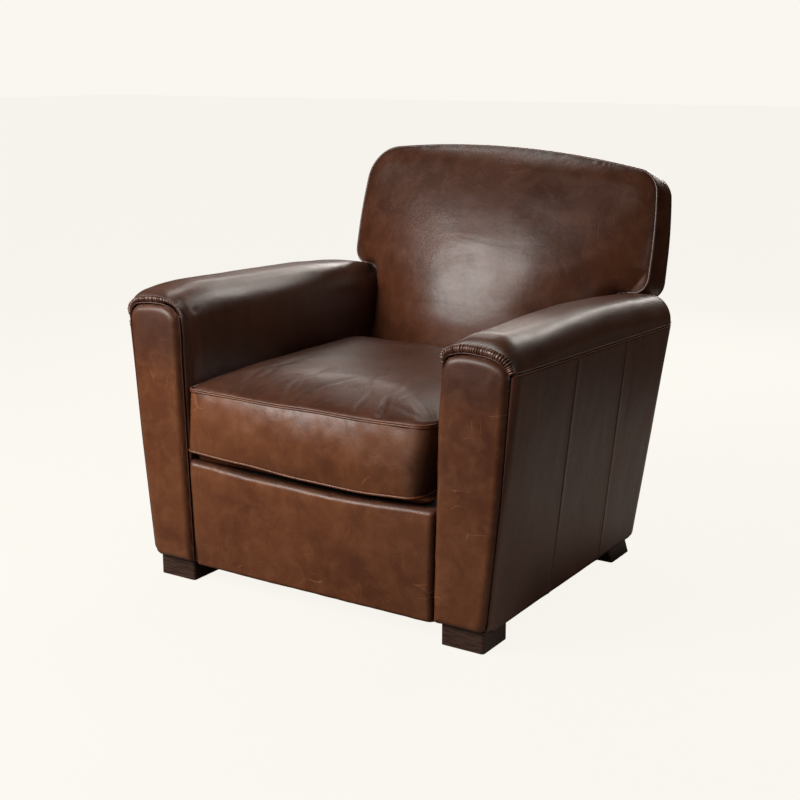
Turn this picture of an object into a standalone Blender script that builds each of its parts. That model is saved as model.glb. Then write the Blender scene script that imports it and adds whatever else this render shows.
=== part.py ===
"""A worn leather club chair with flared box arms, one loose seat cushion and a crowned back.

Metres, +Z up. X runs across the chair, -Y is its front and the floor is z = 0. The
origin lies on the floor under the middle of the chair's box. Depths are written as
distances behind the very front of the chair and turned into Y by at().
"""

import math

import bmesh
import bpy

GAP = 0.0003  # between pieces that touch

# The box of the body: flared sides and a raked, round-cornered rear
BASE = 0.0443  # underside of the wooden frame
SKIN_BASE = 0.0420  # lowest edge of the leather
INNER_LOW = 0.279  # half the width between the arms, at the base
INNER_SLOPE = 0.0334
OUTER_LOW = 0.388  # half the width over the arms, at the base
OUTER_SLOPE = 0.099
REAR_LOW = 0.672
REAR_SLOPE = 0.200
CORNER_LOW = 0.050
CORNER_SLOPE = 0.110

# Arms
RIM = 0.005  # front edge of the leather round the facing
SEAM_FRONT = 0.514
SEAM_FALL = 0.034
ARM_CREST = 0.598
ARM_CREST_FRONT = 0.576
ARM_CREST_REAR = 0.555
ARM_REAR_FALL = 0.018  # further down, where an arm's top rolls over under the back's ear
ARM_WALL = 0.014
ARM_TOP = 0.018
PANEL = 0.009
WRAP = math.radians(86)  # how far the side panel follows the rear corner
ARM_WALL_FOOT = 0.2625  # lowest edge of an arm's inside cover, over the seat deck
PLEATS = 13
SIDE_SEAMS = (0.245, 0.460)
ARM_STATIONS = (0.060, 0.102, 0.250, 0.400, 0.550, 0.645, 0.660)
POST_SHIFT = 0.046

# Seat
DECK_TOP = 0.2617
SPRING_LEVEL = 0.2275
WIRE = 0.002
CUSHION_BOTTOM = 0.262
CUSHION_SEAMS = (0.274, 0.400)
CUSHION_CROWN = 0.447
CUSHION_FRONT = 0.017
CUSHION_REAR = 0.560

# Back
BACK_HALF = 0.3665  # half the width of the back's piped front edge at its widest
BACK_WIDEST = 0.620
BACK_LEAN = 0.45  # how fast the sides curve in above there
BACK_EAR = 0.5555
BACK_TOP = 0.830
CREST_SHIFT = -0.080  # the worn crown is highest off the middle and slumps the other way
CREST_CURVE = 0.233
SHOULDER_HALF = 0.360
SHOULDER_RADII = {-1: 0.072, 1: 0.042}
EAR_RADIUS = 0.026
EAR_DROP = 0.018  # how much lower an ear's underside is at the rear
BAND_FALL = 0.016  # from the piping down to the rear edge of the band
BAND_FLARE = 0.030  # the band widens by this share from its piping to the rear
BACK_PROFILE = (
    (0.25, 0.055),
    (0.36, 0.090),
    (0.45, 0.125),
    (0.50, 0.122),
    (0.60, 0.095),
    (0.70, 0.060),
    (0.80, 0.018),
    (0.84, 0.0),
)
PIPING_AT_600 = 0.722
PIPING_SLOPE = 0.246
FRAME_DEPTH = 0.0517  # from the rear plane to the front of the back's frame
REAR_PANEL = 0.010
STRAP = 0.002

# Feet
FOOT = 0.087
FOOT_OUTER = 0.375
FOOT_FRONT = 0.018
FOOT_REAR = 0.562
FOOT_RAKE = 0.0235
FOOT_TOP = 0.0417
BOLT = 0.004

# The whole chair, from its facings to the top of its raked rear panel
DEPTH = REAR_LOW + REAR_SLOPE * (BACK_TOP - BAND_FALL - SKIN_BASE)
FRONT = -DEPTH / 2

LEATHER = ((0.120, 0.040, 0.018), 0.34, 0.0)
LEATHER_DARK = ((0.030, 0.013, 0.009), 0.38, 0.0)
BEECH = ((0.55, 0.38, 0.22), 0.65, 0.0)
PLY = ((0.48, 0.34, 0.20), 0.70, 0.0)
STAINED = ((0.022, 0.012, 0.008), 0.45, 0.0)
STEEL = ((0.45, 0.45, 0.46), 0.35, 1.0)
NYLON = ((0.06, 0.06, 0.06), 0.55, 0.0)
FOAM = ((0.75, 0.70, 0.52), 0.90, 0.0)
CLOTH = ((0.035, 0.033, 0.032), 0.95, 0.0)
WEB = ((0.10, 0.09, 0.08), 0.90, 0.0)


def at(distance):
    return FRONT + distance


def inner(z):
    """Half the width between the arms at height z."""
    return INNER_LOW + INNER_SLOPE * (z - SKIN_BASE)


def outer(z):
    """Half the width over the arms at height z."""
    return OUTER_LOW + OUTER_SLOPE * (z - SKIN_BASE)


def rear(z):
    """Distance of the rear plane behind the front at height z."""
    return REAR_LOW + REAR_SLOPE * (z - SKIN_BASE)


def corner(z):
    """Plan radius of the rear corners at height z."""
    return CORNER_LOW + CORNER_SLOPE * (z - SKIN_BASE)


def piping(z):
    """Distance of the back's front piping behind the front at height z."""
    return PIPING_AT_600 + PIPING_SLOPE * (z - 0.600)


def material(name, finish):
    colour, roughness, metallic = finish
    made = bpy.data.materials.new(name)
    made.use_nodes = True
    shader = made.node_tree.nodes["Principled BSDF"]
    shader.inputs["Base Color"].default_value = (*colour, 1.0)
    shader.inputs["Roughness"].default_value = roughness
    shader.inputs["Metallic"].default_value = metallic
    made.diffuse_color = (*colour, 1.0)
    return made


def add(name, vertices, faces, finish, smooth=False):
    """One closed mesh object with its normals facing out."""
    mesh = bpy.data.meshes.new(name)
    mesh.from_pydata(vertices, [], faces)
    shape = bmesh.new()
    shape.from_mesh(mesh)
    bmesh.ops.recalc_face_normals(shape, faces=shape.faces)
    shape.to_mesh(mesh)
    shape.free()
    if smooth:
        mesh.shade_smooth()
        mesh.set_sharp_from_angle(angle=math.radians(35))
    made = bpy.data.objects.new(name, mesh)
    bpy.context.scene.collection.objects.link(made)
    made.data.materials.append(material(name, finish))
    return made


def loft(name, rings, finish, smooth=True):
    """Skin equal rings of points in order, with the first and last ring closed off."""
    count = len(rings[0])
    vertices = [point for ring in rings for point in ring]
    faces = [list(range(count)), list(range(len(vertices) - count, len(vertices)))]
    for level in range(len(rings) - 1):
        for i in range(count):
            j = (i + 1) % count
            low, high = level * count, (level + 1) * count
            faces.append([low + i, low + j, high + j, high + i])
    return add(name, vertices, faces, finish, smooth)


def rounded(corners, radii, steps):
    """A polyline whose inner corners are turned into arcs of the given radii."""
    path = [corners[0]]
    for before, here, after, radius in zip(corners, corners[1:-1], corners[2:], radii):
        back = math.dist(before, here)
        ahead = math.dist(after, here)
        u = [(b - h) / back for b, h in zip(before, here)]
        v = [(a - h) / ahead for a, h in zip(after, here)]
        half = math.acos(max(-1.0, min(1.0, u[0] * v[0] + u[1] * v[1]))) / 2
        run = min(radius / math.tan(half), 0.98 * back, 0.98 * ahead)
        size = run * math.tan(half)
        bisector = [(a + b) for a, b in zip(u, v)]
        length = math.hypot(*bisector)
        reach = size / math.sin(half)
        centre = [h + b / length * reach for h, b in zip(here, bisector)]
        start = [h + a * run for h, a in zip(here, u)]
        end = [h + b * run for h, b in zip(here, v)]
        first = math.atan2(start[1] - centre[1], start[0] - centre[0])
        turn = math.atan2(end[1] - centre[1], end[0] - centre[0]) - first
        turn = (turn + math.pi) % (2 * math.pi) - math.pi
        for step in range(steps + 1):
            angle = first + turn * step / steps
            path.append((centre[0] + size * math.cos(angle), centre[1] + size * math.sin(angle)))
    path.append(corners[-1])
    return path


def resampled(path, count):
    """The same polyline with equally spaced points."""
    lengths = [0.0]
    for a, b in zip(path, path[1:]):
        lengths.append(lengths[-1] + math.dist(a, b))
    points = []
    k = 0
    for i in range(count):
        want = lengths[-1] * i / (count - 1)
        while k < len(path) - 2 and lengths[k + 1] < want:
            k += 1
        share = (want - lengths[k]) / (lengths[k + 1] - lengths[k])
        share = max(0.0, min(1.0, share))
        points.append(tuple(a + (b - a) * share for a, b in zip(path[k], path[k + 1])))
    return points


def slab(name, z_range, x_from, x_to, d_from, d_to, finish):
    """A six-sided block whose sides may lean: each edge is a value or a function of height."""
    corners = []
    for z in z_range:
        x0, x1, d0, d1 = (edge(z) if callable(edge) else edge for edge in (x_from, x_to, d_from, d_to))
        corners += [(x0, at(d0), z), (x1, at(d0), z), (x1, at(d1), z), (x0, at(d1), z)]
    faces = [(0, 1, 2, 3), (4, 5, 6, 7), (0, 1, 5, 4), (1, 2, 6, 5), (2, 3, 7, 6), (3, 0, 4, 7)]
    return add(name, corners, faces, finish)


def sided(side, near, far):
    """The two edges of a block on one side of the chair, as functions of height."""
    return (lambda z: side * near(z)), (lambda z: side * far(z))


def cut(target, cutter):
    """Subtract a hidden cutter from a solid."""
    cutter.hide_render = True
    cutter.display_type = "WIRE"
    boolean = target.modifiers.new("cut_" + cutter.name, "BOOLEAN")
    boolean.operation = "DIFFERENCE"
    boolean.solver = "EXACT"
    boolean.object = cutter


def disc(name, x, distance, radius, z_from, z_to, sides, finish):
    """An upright prism with a regular outline."""
    ring = [
        (
            x + radius * math.cos(2 * math.pi * i / sides),
            at(distance) + radius * math.sin(2 * math.pi * i / sides),
        )
        for i in range(sides)
    ]
    return loft(name, [[(*p, z) for p in ring] for z in (z_from, z_to)], finish)


# ---------------------------------------------------------------- wooden frame


def side_frame(side, name):
    """The beech and plywood frame inside one arm."""
    clear = ARM_WALL + GAP
    board_in = lambda z: inner(z) + clear + GAP
    board_out = lambda z: outer(z) - PANEL - 0.0045
    rail_out = lambda z: outer(z) - PANEL - GAP
    rail_in = lambda z: rail_out(z) - 0.025
    slab(name + "_front_board", (BASE, 0.515), *sided(side, board_in, board_out), 0.0273, 0.0553, BEECH)
    slab(name + "_side_rail", (BASE, 0.126), *sided(side, rail_in, rail_out), 0.0556, 0.618, BEECH)
    slab(
        name + "_seat_rail",
        (0.180, 0.225),
        *sided(side, lambda z: 0.2950, lambda z: 0.3200),
        0.0621,
        lambda z: rear(z) - FRAME_DEPTH - GAP,
        BEECH,
    )
    rings = []
    for z in (0.480, 0.505):
        post = rear(z) - FRAME_DEPTH - GAP
        plan = [
            (board_in(z), 0.0556),
            (board_out(z), 0.0556),
            (board_out(z), 0.640),
            (board_in(z) + 0.045, post),
            (board_in(z), post),
        ]
        rings.append([(side * x, at(d), z) for x, d in plan])
    loft(name + "_arm_rail", rings, BEECH, smooth=False)
    slab(
        name + "_inside_arm_board",
        (0.2253, 0.4797),
        *sided(side, lambda z: inner(z) + clear, lambda z: inner(z) + clear + 0.006),
        0.0556,
        0.640,
        PLY,
    )
    slab(
        name + "_back_post",
        (BASE, 0.742),
        *sided(side, post_in, lambda z: post_in(z) + 0.032),
        lambda z: rear(z) - FRAME_DEPTH,
        lambda z: rear(z) - REAR_PANEL - GAP,
        BEECH,
    )


def post_in(z):
    """Inner face of a back post, which leans in a little towards the top."""
    return 0.3060 - 0.020 * (z - SKIN_BASE)


def cross_rails():
    front_half = lambda z: inner(z) + ARM_WALL + GAP
    slab("front_rail", (BASE, 0.225), lambda z: -front_half(z), front_half, 0.0368, 0.0618, BEECH)
    between = lambda z: post_in(z) - GAP
    for name, levels in (("rear_bottom_rail", (BASE, 0.110)), ("rear_seat_rail", (0.165, 0.225))):
        slab(
            name,
            levels,
            lambda z: -between(z),
            between,
            lambda z: rear(z) - FRAME_DEPTH + 2 * (STRAP + GAP),
            lambda z: rear(z) - REAR_PANEL - GAP,
            BEECH,
        )


def crest_rail():
    """The bowed rail that gives the back its crowned top."""
    half, low = 0.322, 0.7423
    outline = [(-half, low), (half, low), (half, 0.756)]
    for i in range(13):
        x = 0.290 * (1 - 2 * i / 12)
        outline.append((x, back_top(x) - 0.028))
    outline.append((-half, 0.756))
    rings = []
    for depth in (FRAME_DEPTH, REAR_PANEL + GAP):
        rings.append([(x, at(rear(z) - depth), z) for x, z in outline])
    loft("crest_rail", rings, BEECH, smooth=False)


def back_webbing():
    """Elastic straps across and down the back, between the posts and rails."""
    for number, z in enumerate((0.40, 0.58), 1):
        slab(
            f"back_web_across_{number}",
            (z, z + 0.050),
            lambda h: -post_in(h) + GAP,
            lambda h: post_in(h) - GAP,
            lambda h: rear(h) - FRAME_DEPTH,
            lambda h: rear(h) - FRAME_DEPTH + STRAP,
            WEB,
        )
    for number, x in enumerate((-0.0525, 0.0525), 1):
        slab(
            f"back_web_down_{number}",
            (0.180, 0.742),
            x - 0.022,
            x + 0.022,
            lambda h: rear(h) - FRAME_DEPTH + STRAP + GAP,
            lambda h: rear(h) - FRAME_DEPTH + 2 * STRAP + GAP,
            WEB,
        )


# ---------------------------------------------------------------- seat springs and deck


def seat_springs():
    """Five sinuous wire springs from the front rail to the rear seat rail."""
    start, end = 0.045, rear(0.2275) - FRAME_DEPTH + 0.030
    crossings, half, bend = 12, 0.024, 0.010
    pitch = (end - start - 0.040) / crossings
    for number in range(5):
        x = 0.105 * (number - 2)
        points = [(x - half, start)]
        for i in range(crossings):
            side = -1 if i % 2 else 1
            d = start + 0.020 + pitch * (i + 0.5)
            points += [
                (x - side * (half - bend), d - pitch / 2),
                (x + side * (half - bend), d - pitch / 2),
                (x + side * half, d - pitch / 4),
                (x + side * half, d + pitch / 4),
            ]
        points += [(x - half, end - 0.020), (x - half, end)]
        curve = bpy.data.curves.new(f"seat_spring_{number + 1}", "CURVE")
        curve.dimensions = "3D"
        curve.bevel_depth = WIRE
        curve.bevel_resolution = 1
        curve.use_fill_caps = True
        spline = curve.splines.new("POLY")
        spline.points.add(len(points) - 1)
        for point, (px, d) in zip(spline.points, points):
            point.co = (px, at(d), SPRING_LEVEL, 1.0)
        made = bpy.data.objects.new(f"seat_spring_{number + 1}", curve)
        bpy.context.scene.collection.objects.link(made)
        curve.materials.append(material(made.name, STEEL))


def seat_deck():
    """The felt and cloth deck that lies on the springs, under the loose cushion."""
    slab(
        "seat_deck",
        (SPRING_LEVEL + WIRE + GAP, DECK_TOP),
        -0.2925,
        0.2925,
        0.0368,
        lambda z: rear(z) - FRAME_DEPTH - GAP,
        CLOTH,
    )


# ---------------------------------------------------------------- leather of the arms


def seam_height(distance):
    """Height of the seam between an arm's top cover and its outside panel."""
    return SEAM_FRONT - SEAM_FALL * distance


def arm_crest(distance):
    """Height of the ridge of an arm's top."""
    if distance < 0.102:
        share = (distance - RIM) / (0.102 - RIM)
        return ARM_CREST_FRONT + (ARM_CREST - ARM_CREST_FRONT) * math.sin(share * math.pi / 2) ** 0.8
    share = min(1.0, (distance - 0.102) / 0.600)
    turned = ARM_REAR_FALL * (max(0.0, distance - 0.660) / 0.090) ** 2
    return ARM_CREST + (ARM_CREST_REAR - ARM_CREST) * share**1.6 - turned


def corner_inset(distance, z):
    """How far the round rear corner has drawn the side in, at this distance."""
    radius = corner(z)
    past = distance - (rear(z) - radius)
    if past <= 0:
        return 0.0
    return radius - math.sqrt(max(0.0, radius**2 - past**2))


def arm_ring(side, distance, inset, foot, shift):
    """Cross-section of an arm's cover: up from the side seam, over the top and down the inside.

    The inside moves outward by shift at the very rear, where it passes the back's post.
    """
    crest = arm_crest(distance) - inset
    seam = seam_height(distance) + GAP
    drawn = corner_inset(distance, seam) + inset
    face = lambda z: inner(z) + inset + shift
    wall = lambda z: inner(z) + ARM_WALL + shift
    over = [
        (outer(seam) - 0.0006 - drawn, seam),
        (0.4370 - drawn, crest - 0.006),
        (face(crest), crest - 0.008),
        (face(foot), foot),
    ]
    under = [
        (over[0][0] - PANEL, seam),
        (over[1][0] - PANEL, over[1][1] - ARM_TOP),
        (wall(over[2][1] - ARM_TOP), over[2][1] - ARM_TOP),
        (wall(foot), foot),
    ]
    arc = rounded(over, (0.044, 0.056), 8)
    top = resampled(arc[:-1], PLEATS * 3 + 1) + [arc[-1]]
    if inset and distance < 0.012:
        for i in range(1, PLEATS * 3):
            if i % 3 == 1:
                x, z = top[i]
                top[i] = (x + 0.0016 * (0.365 - x) / 0.07, z - 0.0018)
    lining = rounded(under, (0.035, 0.028), 5)
    ring = top + lining[::-1]
    return [(side * x, at(distance), z) for x, z in ring]


def arm_cover(side, name):
    """Leather and wadding over an arm: its top, its inside and the rim round the facing."""
    low = SKIN_BASE + 0.001
    stations = [
        (RIM, 0.0050, low, 0.0),
        (0.0075, 0.0018, low, 0.0),
        (0.0120, 0.0, low, 0.0),
        (0.0262, 0.0, low, 0.0),
    ]
    stations += [(d, 0.0, ARM_WALL_FOOT, 0.0) for d in (0.0268,) + ARM_STATIONS]
    stations += [
        (0.690, 0.0, 0.506, 0.0),
        (0.700, 0.0, 0.506, 0.0),
        (0.709, 0.0, 0.506, POST_SHIFT),
        (0.735, 0.0, 0.506, POST_SHIFT),
        (0.748, 0.004, 0.506, POST_SHIFT),
    ]
    rings = [arm_ring(side, *station) for station in stations]
    loft(name + "_arm_cover", rings, LEATHER_DARK)


def arm_padding(side, name):
    """The wadding between the arm rail and the cover's top."""
    floor = 0.505 + GAP
    rings = []
    for distance in (0.0556,) + ARM_STATIONS[:-1]:
        crest = arm_crest(distance)
        corners = [
            (0.4120, floor),
            (0.4170, crest - 0.008 - ARM_TOP),
            (inner(crest) + ARM_WALL + 0.001, crest - 0.010 - ARM_TOP),
            (inner(floor) + ARM_WALL + 0.001, floor),
        ]
        arc = rounded(corners, (0.026, 0.034), 5)
        rings.append([(side * x, at(distance), z) for x, z in arc])
    loft(name + "_arm_padding", rings, FOAM)


def outside_arm(side, name):
    """The side panel: it turns in at the front beside the facing and wraps the rear corner."""
    levels = 7
    rings = []
    for level in range(levels):
        share = level / (levels - 1)
        rings.append(outside_ring(side, share))
    loft(name + "_outside_arm", rings, LEATHER_DARK)


def outside_ring(side, share):
    """One level of a side panel: its outer path, then its lining back to the start."""
    turned = 0.020
    z_mid = SKIN_BASE + (SEAM_FRONT - SKIN_BASE) * share
    stations = [(0.0, RIM + 0.004), (0.0, 0.020)]
    for seam in SIDE_SEAMS:
        stations += [(0.0, seam - 0.003), (0.0012, seam), (0.0, seam + 0.003)]
    outside = []
    lining = []
    half = outer(z_mid)
    for x, front, back in ((half - turned, RIM + 0.0015, 0.0262), (half - 0.004, RIM + 0.0005, 0.0265)):
        outside.append((x, front, SKIN_BASE + (seam_height(front) - SKIN_BASE) * share))
        lining.append((x, back, SKIN_BASE + (seam_height(back) - SKIN_BASE) * share))
    for dent, distance in stations:
        z = SKIN_BASE + (seam_height(distance) - SKIN_BASE) * share
        outside.append((outer(z) - dent, distance, z))
        lining.append((outer(z) - PANEL, max(distance, 0.0272), z))
    steps = 7
    level = SKIN_BASE + (seam_height(0.700) - SKIN_BASE) * share
    radius = corner(level)
    for step in range(steps + 1):
        turn = WRAP * step / steps
        for path, reach in ((outside, radius), (lining, radius - PANEL)):
            x = outer(level) - radius + reach * math.cos(turn)
            d = rear(level) - radius + reach * math.sin(turn)
            path.append((x, d, SKIN_BASE + (seam_height(d) - SKIN_BASE) * share))
    return [(side * x, at(d), z) for x, d, z in outside + lining[::-1]]


def arm_facing(side, name):
    """The padded panel let into the front of an arm."""
    low = SKIN_BASE + 0.0005
    rings = []
    pillow = ((0.0270, 0.0), (0.0120, 0.0), (0.0050, 0.0025), (0.0012, 0.0090), (0.0, 0.0230))
    for distance, inset in pillow:
        left = lambda z: inner(z) + ARM_WALL + 0.0012 + inset
        right = lambda z: outer(z) - 0.0215 - inset
        top = 0.5490 - inset
        bottom = low + inset
        corners = [
            ((left(bottom) + right(bottom)) / 2, bottom),
            (right(bottom), bottom),
            (right(0.53), top - 0.006),
            (left(0.53), top + 0.001),
            (left(bottom), bottom),
            ((left(bottom) + right(bottom)) / 2 - 0.001, bottom),
        ]
        shrink = max(0.1, 1 - inset / 0.030)
        arc = rounded(corners, (0.018 * shrink, 0.040 * shrink, 0.032 * shrink, 0.006 * shrink), 5)
        rings.append([(side * x, at(distance), z) for x, z in arc])
    loft(name + "_arm_facing", rings, LEATHER)


# ---------------------------------------------------------------- front border and cushion


def front_border():
    """The padded leather panel under the cushion, over the front rail."""
    half = lambda z: inner(z) - 0.0008
    rings = []
    top = 0.257
    for distance, low, high, inset in (
        (0.0365, SKIN_BASE - 0.001, top - 0.010, 0.0),
        (0.0240, SKIN_BASE - 0.004, top, 0.0),
        (0.0150, SKIN_BASE - 0.005, top - 0.001, 0.0005),
        (0.0090, SKIN_BASE - 0.005, top - 0.006, 0.001),
        (0.0065, SKIN_BASE - 0.003, top - 0.016, 0.003),
    ):
        corners = [
            (0.0, low),
            (half(low) - inset, low),
            (half(high) - inset, high),
            (-half(high) + inset, high),
            (-half(low) + inset, low),
            (-0.001, low),
        ]
        arc = rounded(corners, (0.004, 0.010, 0.010, 0.004), 3)
        rings.append([(x, at(distance), z) for x, z in arc])
    loft("front_border", rings, LEATHER)


def cushion_ring(z, half, front, back, radius):
    """A rounded rectangle in plan."""
    corners = [(0.0, front), (half, front), (half, back), (-half, back), (-half, front), (-0.001, front)]
    path = rounded(corners, (radius, radius * 0.6, radius * 0.6, radius), 4)
    return [(x, at(d), z) for x, d in path]


def cushion_levels(shrink):
    """Rings from under the cushion to the top of its crown, drawn in by shrink all round."""
    low, high = CUSHION_SEAMS
    bead = 0.0025
    half = inner(low) - 0.0015
    front, back = CUSHION_FRONT, CUSHION_REAR
    plan = [
        (CUSHION_BOTTOM, 0.080, 0.020),
        (CUSHION_BOTTOM, 0.020, 0.035),
        (low - 0.004, 0.0045, 0.026),
        (low, 0.0, 0.028),
        (low + 0.004, 0.0045, 0.026),
        (0.300, -0.0005, 0.028),
        (0.370, -0.0005, 0.028),
        (high - 0.004, 0.0045, 0.026),
        (high, 0.0, 0.028),
        (high + 0.004, 0.0045, 0.026),
        (0.416, 0.018, 0.038),
        (0.430, 0.050, 0.050),
        (0.440, 0.090, 0.060),
        (CUSHION_CROWN - 0.002, 0.140, 0.060),
        (CUSHION_CROWN, 0.200, 0.040),
    ]
    rings = []
    middle = (low + high) / 2
    for z, inset, radius in plan:
        if shrink and abs(inset - 0.0045) < 1e-9:
            continue
        level = z + (shrink if z < middle else -shrink)
        inset = max(inset, bead if shrink else inset) + shrink
        rings.append(cushion_ring(level, half - inset, front + inset, back - inset, radius))
    return rings


def seat_cushion():
    """A loose cushion: a boxed leather cover with a zip along its rear, round a foam core."""
    cover = loft("seat_cushion_cover", cushion_levels(0.0), LEATHER)
    hollow = loft("cushion_hollow", cushion_levels(0.0025), LEATHER)
    cut(cover, hollow)
    slot = slab("zip_slot", (0.335, 0.337), -0.22, 0.22, CUSHION_REAR - 0.008, CUSHION_REAR + 0.01, STEEL)
    cut(cover, slot)
    loft("seat_cushion_core", cushion_levels(0.0029), FOAM)


# ---------------------------------------------------------------- back


def back_top(x):
    """Height of the back's top edge: a shallow crown, then a rounded shoulder and a curved side."""
    crown = BACK_TOP - CREST_CURVE * (x - CREST_SHIFT) ** 2
    radius = SHOULDER_RADII[-1 if x < 0 else 1]
    past = abs(x) - SHOULDER_HALF + radius
    if past <= 0:
        return crown
    side = BACK_WIDEST + math.sqrt(max(0.0, BACK_HALF - abs(x)) / BACK_LEAN)
    if past >= radius:
        return side
    return min(side, crown - radius + math.sqrt(radius**2 - past**2))


def back_bottom(x):
    """Height of the back's lower edge: down behind the cushion, or just over the arms."""
    ears = BACK_HALF + 0.0012 - EAR_RADIUS
    if abs(x) <= inner(BACK_EAR) - 0.001:
        return DECK_TOP + 0.001
    past = max(0.0, abs(x) - ears)
    return BACK_EAR + EAR_RADIUS - math.sqrt(max(0.0, EAR_RADIUS**2 - past**2))


def fullness(z):
    """How far the middle of the inside back stands in front of its piping plane at height z."""
    for (z0, full0), (z1, full1) in zip(BACK_PROFILE, BACK_PROFILE[1:]):
        if z <= z1:
            share = max(0.0, (z - z0) / (z1 - z0))
            share = share * share * (3 - 2 * share)
            return full0 + (full1 - full0) * share
    return 0.0


def back_front(x, z):
    """Distance behind the front of the chair of the inside back's surface."""
    width = BACK_HALF - 0.066 * max(0.0, min(1.0, (0.60 - z) / 0.10))
    across = max(0.0, 1 - (abs(x) / width) ** 2.2)
    to_edge = back_top(x) - z
    if abs(x) > inner(BACK_EAR) - 0.0005:
        to_edge = min(to_edge, z - back_bottom(x))
    roll = min(1.0, max(0.0, to_edge) / 0.035)
    return piping(z) - fullness(z) * across * math.sqrt(roll * (2 - roll)) - 0.004 * math.sqrt(roll)


def back_section(x):
    """Section of the inside back across x: up its front, over the band and down its rear."""
    low, high = back_bottom(x), back_top(x)
    ring = []
    for i in range(15):
        share = math.sin(math.pi / 2 * i / 14)
        z = low + (high - low) * share
        ring.append((x, at(back_front(x, z)), z))
    for share, rise in ((0.06, -0.0025), (0.40, -0.0015), (1.0, -BAND_FALL)):
        z = high + rise
        behind = piping(z) + (rear(z) - REAR_PANEL - GAP - piping(z)) * share
        ring.append((x * (1 + BAND_FLARE * share), at(behind), z))
    if abs(x) > inner(BACK_EAR):
        low -= EAR_DROP
        ring.append((x * (1 + BAND_FLARE), at(rear(low) - REAR_PANEL - GAP), low))
        return ring
    ring.append((x, at(rear(low) - REAR_PANEL - GAP), low))
    neck = []
    for px, y, z in ring:
        if z < BACK_EAR:
            px = math.copysign(min(abs(px), inner(z) - 0.001), x)
        neck.append((px, y, z))
    return neck


def inside_back():
    """The tightly upholstered back: a crowned front, a piped edge and the band behind it."""
    neck = inner(BACK_EAR) - 0.001
    half = [0.0, 0.05, 0.10, 0.15, 0.20, 0.24, 0.265, neck, neck + 0.0006, 0.315, 0.332, 0.344]
    half += [0.351, 0.3555, 0.359, 0.362, 0.3645, 0.3660]
    stations = [-x for x in half[:0:-1]] + half
    made = loft("inside_back", [back_section(x) for x in stations], LEATHER)
    edge = BACK_HALF - 0.012
    hollow = [(-edge, 0.20), (edge, 0.20)]
    for i in range(21):
        x = (edge - 0.013) * (1 - i / 10)
        hollow.append((x, back_top(x) - 0.022))
    cutter = []
    for depth in (FRAME_DEPTH + GAP, -0.05):
        cutter.append([(x, at(rear(z) - depth), z) for x, z in hollow])
    cut(made, loft("back_hollow", cutter, LEATHER))


def outside_back():
    """The rear panel, from the base to the crest."""
    edge = [(0.0, SKIN_BASE)]
    for i in range(5):
        z = SKIN_BASE + (0.490 - SKIN_BASE) * i / 4
        edge.append((outer(z) - corner(z) + corner(z) * math.cos(WRAP) - 0.0015, z))
    wide = 1 + BAND_FLARE
    edge += [(0.352, 0.516), (0.369, 0.536), (0.366 * wide, 0.556)]
    for x in (0.3645, 0.362, 0.358, 0.354, 0.348, 0.340, 0.328, 0.310, 0.290, 0.250, 0.200, 0.140, 0.070):
        edge.append((x * wide, None))
    edge = edge + [(0.0, None)] + [(-x, z) for x, z in edge[::-1] if x > 0]
    outline = [(x, back_top(x / wide) - BAND_FALL if z is None else z) for x, z in edge]
    rings = []
    for depth, inset in ((REAR_PANEL, 0.0), (0.003, 0.0), (0.0, 0.004)):
        ring = []
        for x, z in outline:
            drawn = x - math.copysign(min(inset, abs(x)), x)
            lower = inset if z > 0.700 else 0.0
            ring.append((drawn, at(rear(z) - depth), z - lower))
        rings.append(ring)
    loft("outside_back", rings, LEATHER_DARK)


# ---------------------------------------------------------------- base, feet and fasteners


def dust_cover(bolts):
    """The cloth that closes the underside, with a hole for each foot's bolt."""
    half, near, far = OUTER_LOW - 0.014, 0.0368, 0.655
    corners = [(0.0, near), (half, near), (half, far), (-half, far), (-half, near), (-0.001, near)]
    path = rounded(corners, (0.004, 0.040, 0.040, 0.004), 4)
    made = loft("dust_cover", [[(x, at(d), z) for x, d in path] for z in (0.0420, BASE - GAP)], CLOTH)
    for name, x, d in bolts:
        cut(made, disc(name + "_dust_hole", x, d, BOLT + 0.0005, 0.03, 0.06, 10, STEEL))


def corner_blocks(bolts):
    spans = {"front": (0.0556, 0.120), "rear": (0.545, rear(BASE) - FRAME_DEPTH - GAP)}
    for name, x, d in bolts:
        side = math.copysign(1, x)
        near, far = spans[name.split("_")[0]]
        block = slab(name + "_corner_block", (BASE, 0.084), side * 0.300, side * 0.3535, near, far, BEECH)
        cut(block, disc(name + "_block_hole", x, d, BOLT + 0.0005, 0.02, 0.12, 10, STEEL))


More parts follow.
